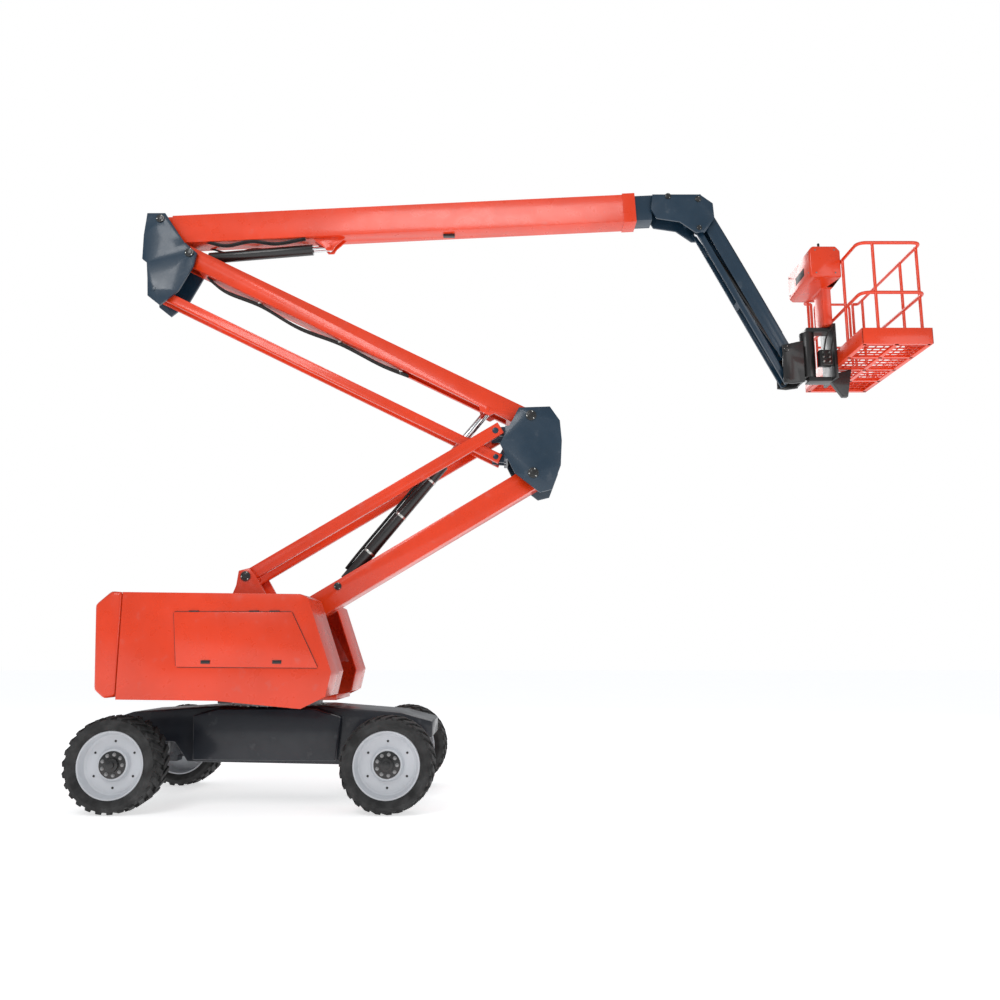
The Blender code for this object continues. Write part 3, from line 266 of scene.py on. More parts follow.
def bevelled_rod(start, end, radius, sides=24, width=0.003):
    """A round bar between two points, with softened ends."""
    deselect()
    start, end = Vector(start), Vector(end)
    bpy.ops.mesh.primitive_cylinder_add(
        vertices=sides, radius=radius, depth=(end - start).length, location=(start + end) / 2,
        rotation=(end - start).to_track_quat("Z", "Y").to_euler(),
    )
    piece = bpy.context.object
    bpy.ops.object.transform_apply(location=True, rotation=True, scale=True)
    limit = min(radius, (end - start).length) * 0.3
    apply_modifier(piece, "BEVEL", width=min(width, limit), segments=2, limit_method="ANGLE")
    return piece


def hex_bolt(point, axis, size):
    """A bolt head on a washer, standing along the axis."""
    axis = Vector(axis).normalized()
    point = Vector(point)
    washer = bevelled_rod(point - axis * size * 0.05, point + axis * size * 0.2, size * 1.25, 16, size * 0.1)
    head = bevelled_rod(point + axis * size * 0.15, point + axis * size * 0.8, size, 6, size * 0.12)
    return joined([washer, head])


def joined(pieces):
    """One object from several."""
    if len(pieces) == 1:
        return pieces[0]
    deselect()
    for piece in pieces:
        piece.select_set(True)
    bpy.context.view_layer.objects.active = pieces[0]
    bpy.ops.object.join()
    return pieces[0]


def smooth_route(points, steps=8):
    """Points along a Catmull-Rom curve through the given ones."""
    points = [Vector(point) for point in points]
    ends = [points[0] * 2 - points[1], *points, points[-1] * 2 - points[-2]]
    route = []
    for a, b, c, d in zip(ends, ends[1:], ends[2:], ends[3:]):
        for step in range(steps):
            t = step / steps
            squared, cubed = 2 * a - 5 * b + 4 * c - d, 3 * b - a - 3 * c + d
            route.append(0.5 * ((2 * b) + (c - a) * t + squared * t**2 + cubed * t**3))
    return [*route, points[-1]]


def swept(points, radius, cyclic=False, resolution=4):
    """A round tube mesh along the points, with closed ends."""
    curve = bpy.data.curves.new("sweep", "CURVE")
    curve.dimensions = "3D"
    curve.bevel_depth = radius
    curve.bevel_resolution = resolution
    curve.use_fill_caps = True
    spline = curve.splines.new("POLY")
    spline.points.add(len(points) - 1)
    for place, point in zip(spline.points, points):
        place.co = (*point, 1.0)
    spline.use_cyclic_u = cyclic
    holder = bpy.data.objects.new("sweep", curve)
    bpy.context.scene.collection.objects.link(holder)
    make_active(holder)
    bpy.ops.object.convert(target="MESH")
    piece = bpy.context.object
    bpy.ops.object.mode_set(mode="EDIT")
    bpy.ops.mesh.select_all(action="SELECT")
    bpy.ops.mesh.remove_doubles(threshold=0.00001)
    bpy.ops.mesh.normals_make_consistent(inside=False)
    bpy.ops.object.mode_set(mode="OBJECT")
    return piece


def refined(node, width, finish=None, segments=2):
    """A merged copy of a CAD node with its hard edges rounded, which stands for the node."""
    source = frame["nodes"][node]
    piece = bpy.data.objects.new(node + "_finish", source.data.copy())
    bpy.context.scene.collection.objects.link(piece)
    make_active(piece)
    bpy.ops.object.mode_set(mode="EDIT")
    bpy.ops.mesh.select_all(action="SELECT")
    bpy.ops.mesh.remove_doubles(threshold=0.00002)
    bpy.ops.mesh.dissolve_limited(angle_limit=math.radians(0.5))
    bpy.ops.object.mode_set(mode="OBJECT")
    apply_modifier(
        piece, "BEVEL", width=width, segments=segments, limit_method="ANGLE", angle_limit=math.radians(40),
        use_clamp_overlap=True, harden_normals=False,
    )
    apply_modifier(piece, "TRIANGULATE")
    dress(piece, node + "_finish", NODE_BODY[node], finish or NODE_SLOT[node])
    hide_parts(node)
    return piece


# ---------------------------------------------------------------- settings


class BOOMLIFT_PG_colours(bpy.types.PropertyGroup):
    orange: bpy.props.FloatVectorProperty(
        name="Orange paint", description="Hoods, arms, boom and platform", subtype="COLOR", size=3,
        default=(0.82, 0.048, 0.006), min=0.0, max=1.0,
    )
    blue: bpy.props.FloatVectorProperty(
        name="Blue paint", description="Knuckles, nose and jib", subtype="COLOR", size=3,
        default=(0.008, 0.03, 0.056), min=0.0, max=1.0,
    )
    chassis: bpy.props.FloatVectorProperty(
        name="Chassis paint", description="Chassis and axles", subtype="COLOR", size=3,
        default=(0.008, 0.011, 0.018), min=0.0, max=1.0,
    )
    rim: bpy.props.FloatVectorProperty(
        name="Rim paint", description="Wheel rims", subtype="COLOR", size=3,
        default=(0.6, 0.62, 0.65), min=0.0, max=1.0,
    )


class BOOMLIFT_PG_sizes(bpy.types.PropertyGroup):
    lug_count: bpy.props.IntProperty(
        name="Tread lugs", description="Lugs round each side of a tyre", default=26, min=8, max=60
    )
    lug_depth: bpy.props.FloatProperty(
        name="Lug depth", description="How deep the tread is cut", default=0.022, min=0.005, max=0.05,
        unit="LENGTH",
    )
    hose_radius: bpy.props.FloatProperty(
        name="Hose radius", description="Radius of a hydraulic hose", default=0.011, min=0.004, max=0.03,
        unit="LENGTH",
    )
    rail_radius: bpy.props.FloatProperty(
        name="Rail radius", description="Radius of the platform's rail tubes", default=0.019, min=0.01,
        max=0.03, unit="LENGTH",
    )
    grid_pitch: bpy.props.FloatProperty(
        name="Floor grid pitch", description="Spacing of the platform floor's bars", default=0.09, min=0.02,
        max=0.2, unit="LENGTH",
    )
    edge_radius: bpy.props.FloatProperty(
        name="Edge radius", description="Rounding of plate edges", default=0.005, min=0.001, max=0.02,
        unit="LENGTH",
    )


# ---------------------------------------------------------------- pieces


class BOOMLIFT_OT_steelwork(bpy.types.Operator):
    """Rounds the edges of the arms, knuckles, chassis and hoods"""

    bl_idname = "boomlift.steelwork"
    bl_label = "Steelwork"

    def execute(self, context):
        edge = context.scene.boomlift_sizes.edge_radius
        soft_edges = {"counterweight": 0.03, "control_box": 0.02, "chassis": 0.012}
        plates = (
            "chassis", "counterweight", "turntable_deck", "mid_knuckle", "upper_knuckle", "jib_mount",
            "platform_mount", "platform_bracket", "tension_link_near", "tension_link_far", "upper_link",
            "jib_link", "steer_axle", "drive_axle", "control_box",
        )
        for node in plates:
            refined(node, soft_edges.get(node, edge))
        for node in ("lower_arm", "upper_arm", "boom", "fly_boom", "jib"):
            refined(node, edge * 0.7)
        for side, _ in SIDES:
            refined(f"hood_{side}", edge * 0.8)
            refined(f"hood_door_{side}", edge * 1.2)
            refined(f"steer_knuckle_{side}", edge)
            refined(f"drive_hub_{side}", edge)
        for node in ("engine_block", "hydraulic_tank", "ground_controls"):
            refined(node, 0.02)
        for node in ("riser_barrel", "boom_barrel", "jib_barrel", "riser_rod", "boom_rod", "jib_rod"):
            refined(node, 0.003)
        for node in ("slew_ring", "side_tray_near", "side_tray_far"):
            source = frame["nodes"][node]
            source.data.materials.clear()
            source.data.materials.append(MATERIALS[NODE_SLOT[node]])
        return {"FINISHED"}


def spun(profile, centre, out, closed):
    """A body of revolution about the axle, from (radius, distance outwards) points."""
    mesh = bpy.data.meshes.new("profile")
    points = [(centre.x + radius, centre.y + out * along, centre.z) for radius, along in profile]
    count = len(points) if closed else len(points) - 1
    mesh.from_pydata(points, [(index, (index + 1) % len(points)) for index in range(count)], [])
    piece = bpy.data.objects.new("profile", mesh)
    bpy.context.scene.collection.objects.link(piece)
    make_active(piece)
    bpy.ops.object.mode_set(mode="EDIT")
    bpy.ops.mesh.select_all(action="SELECT")
    bpy.ops.mesh.spin(steps=72, angle=math.tau, center=centre, axis=(0, 1, 0))
    bpy.ops.mesh.select_all(action="SELECT")
    bpy.ops.mesh.remove_doubles(threshold=0.0001)
    bpy.ops.mesh.normals_make_consistent(inside=False)
    bpy.ops.object.mode_set(mode="OBJECT")
    return piece


def tyre_carcass(centre, half, radius, rim_radius, depth):
    """The tyre's smooth body below its lugs."""
    profile = [
        (rim_radius, -half * 0.82), (rim_radius + 0.03, -half * 0.95), (radius - 0.075, -half * 0.99),
        (radius - depth - 0.012, -half * 0.9), (radius - depth, -half * 0.7), (radius - depth, half * 0.7),
        (radius - depth - 0.012, half * 0.9), (radius - 0.075, half * 0.99), (rim_radius + 0.03, half * 0.95),
        (rim_radius, half * 0.82),
    ]
    return spun(profile, centre, 1, True)


def tread_lug(centre, half, radius, depth, side):
    """One chunky lug: a slanted block from the shoulder to past the middle of the tread."""
    deselect()
    lug_width, slant = 0.056, math.radians(24)
    shoulder_start, shoulder_end, shoulder_drop = half * 0.6, half * 0.985, 0.014
    top = radius - 0.002
    place = (centre.x, centre.y + side * half * 0.44, centre.z + top - depth / 2)
    bpy.ops.mesh.primitive_cube_add(size=1.0, location=place)
    lug = bpy.context.object
    lug.scale = (lug_width, half * 0.92, depth + 0.012)
    lug.rotation_euler = (0, 0, side * slant)
    bpy.ops.object.transform_apply(location=True, rotation=True, scale=True)
    for vertex in lug.data.vertices:
        out = side * (vertex.co.y - centre.y)
        if out > shoulder_start:
            vertex.co.z -= shoulder_drop
            vertex.co.y = centre.y + side * min(out, shoulder_end)
    apply_modifier(lug, "BEVEL", width=0.004, segments=1, limit_method="ANGLE")
    return lug


class BOOMLIFT_OT_tyres(bpy.types.Operator):
    """Builds the four treaded tyres and dresses their rims"""

    bl_idname = "boomlift.tyres"
    bl_label = "Tyres and rims"

    def execute(self, context):
        sizes = context.scene.boomlift_sizes
        for wheel in WHEELS:
            axle, _, side = wheel.split("_")
            self.tyre(wheel, f"{axle}_tyre_{side}", sizes)
            self.rim(wheel, f"{axle}_rim_{side}", -1 if side == "near" else 1)
        return {"FINISHED"}

    def tyre(self, wheel, node, sizes):
        low, high = (Vector(corner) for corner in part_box(node))
        centre, half, radius = (low + high) / 2, (high.y - low.y) / 2, (high.z - low.z) / 2
        rim_radius = radius * 0.71
        parts = [tyre_carcass(centre, half, radius, rim_radius, sizes.lug_depth)]
        there, back = Matrix.Translation(centre), Matrix.Translation(-centre)
        for side in (-1, 1):
            model = tread_lug(centre, half, radius, sizes.lug_depth, side)
            for index in range(sizes.lug_count):
                lug = model.copy()
                lug.data = model.data.copy()
                bpy.context.scene.collection.objects.link(lug)
                angle = math.tau * (index + (0.5 if side > 0 else 0.0)) / sizes.lug_count
                lug.data.transform(there @ Matrix.Rotation(angle, 4, "Y") @ back)
                parts.append(lug)
            bpy.data.objects.remove(model, do_unlink=True)
        tyre = dress(joined(parts), node + "_treaded", wheel, "rubber")
        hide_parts(node)

    def rim(self, wheel, node, out):
        """A pale dished rim with a dark hub, its nuts, and a ring of dark discs painted as the shade in small
        openings through the web.
        """
        hub_face, hub_bore, web_face = 0.11, 0.15, 0.06
        nut_count, nut_circle = 9, 0.1
        hole_count, hole_circle = 6, 0.222
        centre = middle(node)
        low, high = (Vector(corner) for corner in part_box(node))
        edge, half = (high.z - low.z) / 2 - 0.0004, (high.y - low.y) / 2
        profile = [
            (0.0, 0.028), (0.16, 0.028), (edge - 0.035, 0.032), (edge - 0.014, -half), (edge, -half),
            (edge, half - 0.004), (edge - 0.005, half), (edge - 0.014, half), (edge - 0.019, half - 0.006),
            (edge - 0.024, half - 0.03), (edge - 0.04, 0.088), (edge - 0.062, 0.07), (0.185, web_face),
            (0.168, 0.064), (0.156, 0.078), (hub_bore, 0.104), (0.144, hub_face), (0.0, hub_face),
        ]
        dished = dress(spun(profile, centre, out, False), node + "_dished", wheel, "rim_paint", 30.0)
        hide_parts(node)
        face = Vector((centre.x, centre.y + out * hub_face, centre.z))
        outwards = Vector((0, out, 0))
        hub = [
            bevelled_rod(face - outwards * 0.004, face + outwards * 0.01, 0.132, 48, 0.004),
            bevelled_rod(face, face + outwards * 0.042, 0.068, 36, 0.012),
            bevelled_rod(face, face + outwards * 0.06, 0.036, 24, 0.008),
        ]
        dress(joined(hub), wheel + "_hub_cap", wheel, "black_paint")
        nuts = []
        for index in range(nut_count):
            angle = math.tau * index / nut_count
            spot = face + Vector((math.cos(angle), 0, math.sin(angle))) * nut_circle
            nuts.append(hex_bolt(spot + outwards * 0.01, outwards, 0.015))
        dress(joined(nuts), wheel + "_nuts", wheel, "pin_steel")
        # Painted shade: dark discs flush on the web stand for the shade seen through small openings in the
        # rim.
        hole_shade_discs = []
        web = Vector((centre.x, centre.y + out * 0.062, centre.z))
        for index in range(hole_count):
            angle = math.tau * (index + 0.5) / hole_count
            spot = web + Vector((math.cos(angle), 0, math.sin(angle))) * hole_circle
            start, end = spot - Vector((0, 0.006, 0)), spot + outwards * 0.004
            hole_shade_discs.append(bevelled_rod(start, end, 0.012, 16, 0.001))
        dress(joined(hole_shade_discs), wheel + "_holes", wheel, "dark_plastic")


class BOOMLIFT_OT_platform(bpy.types.Operator):
    """Builds the platform's rails, gate, open floor, toe boards and control box details"""

    bl_idname = "boomlift.platform"
    bl_label = "Work platform"

    def execute(self, context):
        sizes = context.scene.boomlift_sizes
        low, high = (Vector(corner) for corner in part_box("platform_floor"))
        self.floor(low, high, sizes.grid_pitch)
        self.rails(low, high, sizes.rail_radius)
        self.gate(sizes.rail_radius)
        self.controls()
        self.bracket()
        return {"FINISHED"}

    def floor(self, low, high, pitch):
        """Toe boards all round, a frame and an open grid of thin bars."""
        wall, sole = 0.012, 0.03
        beam_half, cross_half, bar_half = 0.025, 0.022, 0.002
        spans = 4
        parts = [
            bevelled_box((low.x, low.y, low.z), (high.x, low.y + wall, high.z)),
            bevelled_box((low.x, high.y - wall, low.z), (high.x, high.y, high.z)),
            bevelled_box((low.x, low.y, low.z), (low.x + wall, high.y, high.z)),
            bevelled_box((high.x - wall, low.y, low.z), (high.x, high.y, high.z)),
        ]
        for x in (low.x + 0.03, (low.x + high.x) / 2, high.x - 0.03):
            near, far = (x - beam_half, low.y + wall, low.z), (x + beam_half, high.y - wall, low.z + sole)
            parts.append(bevelled_box(near, far))
        for index in range(spans + 1):
            y = low.y + 0.04 + (high.y - low.y - 0.08) * index / spans
            back, front = (low.x + wall, y - cross_half, low.z), (high.x - wall, y + cross_half, low.z + sole)
            parts.append(bevelled_box(back, front))
        frame_piece = dress(joined(parts), "platform_floor_frame", "platform", "orange_paint")
        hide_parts("platform_floor")
        bars = []
        edge = 0.03
        for index in range(int((high.y - low.y - 2 * edge) / pitch) + 1):
            y = low.y + edge + pitch * index
            back = (low.x + wall, y - bar_half, low.z + 0.012)
            front = (high.x - wall, y + bar_half, low.z + sole)
            bars.append(bevelled_box(back, front, 0.0008))
        for index in range(int((high.x - low.x - 2 * edge) / pitch) + 1):
            x = low.x + edge + pitch * index
            near = (x - bar_half, low.y + wall, low.z + 0.014)
            far = (x + bar_half, high.y - wall, low.z + sole)
            bars.append(bevelled_box(near, far, 0.0008))
        dress(joined(bars), "platform_floor_grid", "platform", "orange_paint")

    def rails(self, low, high, radius):
        """Top and middle rails with bent corners, and posts that stand in the toe boards."""
        rail_low, rail_high = (Vector(corner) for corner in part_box("platform_rails"))
        gate_low, gate_high = (Vector(corner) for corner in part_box("platform_gate"))
        left, right = rail_low.x + radius, rail_high.x - radius
        near, far = rail_low.y + radius, rail_high.y - radius
        gate_start, gate_end = gate_low.x - 0.03, gate_high.x + 0.03
        top, middle_drop, corner_radius, flange_half = rail_high.z - radius, 0.58, 0.1, 0.026
        parts = []
        for z in (top, top - middle_drop):
            corners = [
                (gate_start, far, z), (left, far, z), (left, near, z),
                (right, near, z), (right, far, z), (gate_end, far, z),
            ]
            parts.append(swept(bent(corners, corner_radius), radius))
        posts = [(gate_start, far), (gate_end, far)]
        posts += [(left + 0.16, near), (right, near * 0.86), (right, near * 0.4), (right, far * 0.84)]
        posts += [(left, near * 0.5), (left, far * 0.35), (left, far * 0.84)]
        for x, y in posts:
            foot = Vector((x, y, low.z + 0.035))
            parts.append(swept([foot, Vector((x, y, top))], radius * 0.9))
            flange_low = foot - Vector((flange_half, flange_half, 0.004))
            flange_high = foot + Vector((flange_half, flange_half, 0.01))
            parts.append(bevelled_box(flange_low, flange_high, 0.003))
        rails = dress(joined(parts), "platform_rail_tubes", "platform", "orange_paint")
        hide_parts("platform_rails")

    def gate(self, radius):
        """A closed tube frame with a crossbar and a latch."""
        low, high = (Vector(corner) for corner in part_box("platform_gate"))
        y, middle_z, cross_z = (low.y + high.y) / 2, (low.z + high.z) / 2, low.z + 0.38
        tube = radius * 0.82
        left, right, bottom, top = low.x + tube, high.x - tube, low.z + tube, high.z - tube
        corners = [
            (left, y, middle_z), (left, y, top), (right, y, top),
            (right, y, bottom), (left, y, bottom), (left, y, middle_z),
        ]
        parts = [
            swept(bent(corners, 0.07)[:-1], tube, cyclic=True),
            swept([(left, y, cross_z), (right, y, cross_z)], tube * 0.9),
        ]
        gate = dress(joined(parts), "platform_gate_tubes", "gate", "orange_paint")
        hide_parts("platform_gate")
        latch_low = (high.x - 0.07, y - 0.03, cross_z - 0.02)
        latch_high = (high.x - 0.03, y - 0.017, cross_z + 0.05)
        dress(bevelled_box(latch_low, latch_high), "platform_gate_latch", "gate", "black_paint")

    def controls(self):
        """The box's slot as a dark block of painted shade, its top panel, levers, stop buttons and bolts."""
        box_height, side_margin, end_margin = 0.38, 0.07, 0.05
        low, high = (Vector(corner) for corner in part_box("control_box"))
        foot = high.z - box_height
        near, far = low.y, high.y
        # Painted shade: a dark block set into the box's face stands for the shade inside the slot opening.
        slot_shade_low, slot_shade_high = (low.x - 0.003, near + 0.2, foot + 0.1), (low.x + 0.02, near + 0.5, foot + 0.2)
        dress(bevelled_box(slot_shade_low, slot_shade_high, 0.008), "control_box_slot_shade", "platform", "dark_plastic")
        panel_low = (low.x + side_margin, near + end_margin, high.z - 0.02)
        panel_high = (high.x - side_margin, far - end_margin, high.z + 0.004)
        dress(bevelled_box(panel_low, panel_high, 0.006), "control_panel", "platform", "dark_plastic")
        # Each lever from the panel up: boot, stem and knob, as foot, top, radius, sides and edge.
        lever_stack = (
            (0, 0.025, 0.026, 20, 0.006), (0, 0.075, 0.007, 16, 0.002), (0.06, 0.1, 0.014, 20, 0.006),
        )
        levers, buttons = [], []
        for share in (0.2, 0.5, 0.8):
            base = Vector((low.x + 0.17, near + (far - near) * share, high.z))
            for foot_height, top_height, radius, sides, edge in lever_stack:
                start, end = base + Vector((0, 0, foot_height)), base + Vector((0, 0, top_height))
                levers.append(bevelled_rod(start, end, radius, sides, edge))
        dress(joined(levers), "control_levers", "platform", "dark_plastic")
        for share in (0.34, 0.66):
            base = Vector((low.x + 0.24, near + (far - near) * share, high.z))
            buttons.append(bevelled_rod(base, base + Vector((0, 0, 0.022)), 0.019, 24, 0.005))
        dress(joined(buttons), "control_stop_buttons", "platform", "red_plastic")
        bolts = []
        for y in (near + end_margin, far - end_margin):
            for z in (foot + 0.07, high.z - 0.08):
                bolts.append(hex_bolt((low.x, y, z), (-1, 0, 0), 0.008))
        for x in (low.x + side_margin, high.x - side_margin):
            for z in (foot + 0.05, high.z - 0.05):
                bolts.append(hex_bolt((x, near, z), (0, -1, 0), 0.008))
        dress(joined(bolts), "control_box_bolts", "platform", "pin_steel")

    def bracket(self):
        """A valve block beside the rotator, with two columns of fittings on its face."""
        low, high = (Vector(corner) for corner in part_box("platform_bracket"))
        block_low = (high.x - 0.42, VALVE_FACE, low.z + 0.33)
        block_high = (high.x - 0.275, -0.1, low.z + 0.52)
        dress(bevelled_box(block_low, block_high, 0.006), "platform_valve_block", "platform", "black_paint")
        fittings = []
        for row in range(3):
            for column in range(2):
                x = high.x - VALVE_BACK + VALVE_PITCH * column
                spot = Vector((x, VALVE_FACE, low.z + 0.37 + 0.055 * row))
                collar, end = spot - Vector((0, 0.025, 0)), spot - Vector((0, 0.045, 0))
                fittings.append(bevelled_rod(spot, spot - Vector((0, 0.03, 0)), 0.011, 6, 0.002))
                fittings.append(bevelled_rod(collar, end, 0.008, 16, 0.002))
        dress(joined(fittings), "platform_valve_fittings", "platform", "zinc")


def bent(corners, radius, steps=6):
    """Path points through the corners, with each inner corner rounded."""
    path = [Vector(corners[0])]
    for before, corner, after in zip(corners, corners[1:], corners[2:]):
        before, corner, after = Vector(before), Vector(corner), Vector(after)
        reach = min(radius, (before - corner).length * 0.5, (after - corner).length * 0.5)
        start = corner + (before - corner).normalized() * reach
        end = corner + (after - corner).normalized() * reach
        for step in range(steps + 1):
            share = step / steps
            path.append((1 - share) ** 2 * start + 2 * share * (1 - share) * corner + share**2 * end)
    return [*path, Vector(corners[-1])]


class BOOMLIFT_OT_pins(bpy.types.Operator):
    """Puts caps and bolts on the pins of the arms and knuckles"""

    bl_idname = "boomlift.pins"
    bl_label = "Pin heads"

    def execute(self, context):
        # Joint, body that carries the heads, their distance from the middle plane, and radius.
        heads = (
            ("lower_arm_lift", "turntable", 0.305, 0.055),
            ("tension_link_swing", "turntable", 0.305, 0.055),
            ("mid_knuckle_level", "mid_knuckle", 0.288, 0.06),
            ("upper_arm_lift", "mid_knuckle", 0.288, 0.06),
            ("upper_knuckle_level", "upper_knuckle", 0.208, 0.055),
            ("boom_lift", "upper_knuckle", 0.208, 0.05),
            ("jib_mount_level", "jib_mount", 0.148, 0.036),
            ("jib_lift", "jib_mount", 0.148, 0.036),
            ("jib_link_swing", "jib_mount", 0.148, 0.03),
            ("platform_level", "platform_mount", 0.148, 0.036),
            ("riser_barrel_swing", "lower_arm", 0.158, 0.042),
        )
        for name, body, reach, radius in heads:
            centre = pivot(name)
            caps, bolts = [], []
            for _, sign in SIDES:
                face = centre + Vector((0, sign * reach, 0))
                out = Vector((0, sign, 0))
                caps.append(bevelled_rod(face - out * 0.004, face + out * 0.008, radius, 28, 0.003))
                caps.append(bevelled_rod(face + out * 0.004, face + out * 0.014, radius * 0.6, 24, 0.003))
                for degrees in (70, 190, 310):
                    angle = math.radians(degrees)
                    spot = face + Vector((math.cos(angle), 0, math.sin(angle))) * radius * 0.78
                    bolts.append(hex_bolt(spot + out * 0.008, out, radius * 0.11))
            dress(joined(caps), name + "_pin_caps", body, "black_paint")
            dress(joined(bolts), name + "_pin_bolts", body, "zinc")
        return {"FINISHED"}


class BOOMLIFT_OT_hoods(bpy.types.Operator):
    """Adds latches, hinges, seals, louvres and a lamp to the hoods"""

    bl_idname = "boomlift.hoods"
    bl_label = "Hood fittings"

    def execute(self, context):
        for side, sign in SIDES:
            low, high = (Vector(corner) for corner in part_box(f"hood_door_{side}"))
            face = high.y if sign > 0 else low.y
            body = f"door_{side}"
            latches = []
            inner, outer = sorted((face, face + sign * 0.008))
            for x in (low.x + 0.3, high.x - 0.45):
                corner, opposite = (x, inner, low.z + 0.04), (x + 0.09, outer, low.z + 0.075)
                latches.append(bevelled_box(corner, opposite, 0.003))
            dress(joined(latches), f"hood_latches_{side}", body, "black_paint")
            hinges = []
            y, z = face - sign * 0.006, high.z + 0.006
            for x in (low.x + 0.15, low.x + 0.75, high.x - 0.5):
                hinges.append(bevelled_rod((x, y, z), (x + 0.1, y, z), 0.007, 16, 0.002))
            dress(joined(hinges), f"hood_hinges_{side}", "turntable", "black_paint")
            self.seal(side, sign)
        hood_low = Vector(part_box("hood_near")[0])
        self.louvres(hood_low)
        self.lamp(hood_low)
        return {"FINISHED"}

    def seal(self, side, sign):
        """A dark rubber seal round the door's outline."""
        low, high = (Vector(corner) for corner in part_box(f"hood_door_{side}"))
        centre = (low + high) / 2
        door = frame["nodes"][f"hood_door_{side}"].data
        corners = {(round(vertex.co.x, 3), round(vertex.co.z, 3)) for vertex in door.vertices}
        loop = sorted(corners, key=lambda point: math.atan2(point[1] - centre.z, point[0] - centre.x))
        y = sign * (abs(centre.y) - 0.004)
        points = [Vector((x, y, z)) for x, z in loop]
        route = bent([points[-1], *points, points[0]], 0.02)[1:-1]
        dress(swept(route, 0.005, cyclic=True), f"hood_seal_{side}", "turntable", "dark_plastic")

    def louvres(self, low):
        """Pressed louvres near the counterweight, in the wall of the far hood."""
        lowest, pitch, height, count = 1.28, 0.05, 0.02, 8
        wall = abs(low.y) + 0.001
        slats = []
        for index in range(count):
            z = lowest + pitch * index
            foot, top = (low.x + 0.12, wall - 0.004, z), (low.x + 0.36, wall + 0.008, z + height)
            slats.append(bevelled_box(foot, top, 0.004))
        dress(joined(slats), "hood_louvres_far", "turntable", "orange_paint")

    def lamp(self, low):
        """A small lamp at the near hood's lower edge."""
        bottom, top = 1.052, 1.076
        lamp = bevelled_box((low.x + 1.0, low.y + 0.02, bottom), (low.x + 1.14, low.y + 0.06, top), 0.006)
        dress(lamp, "under_hood_lamp", "turntable", "dark_plastic")


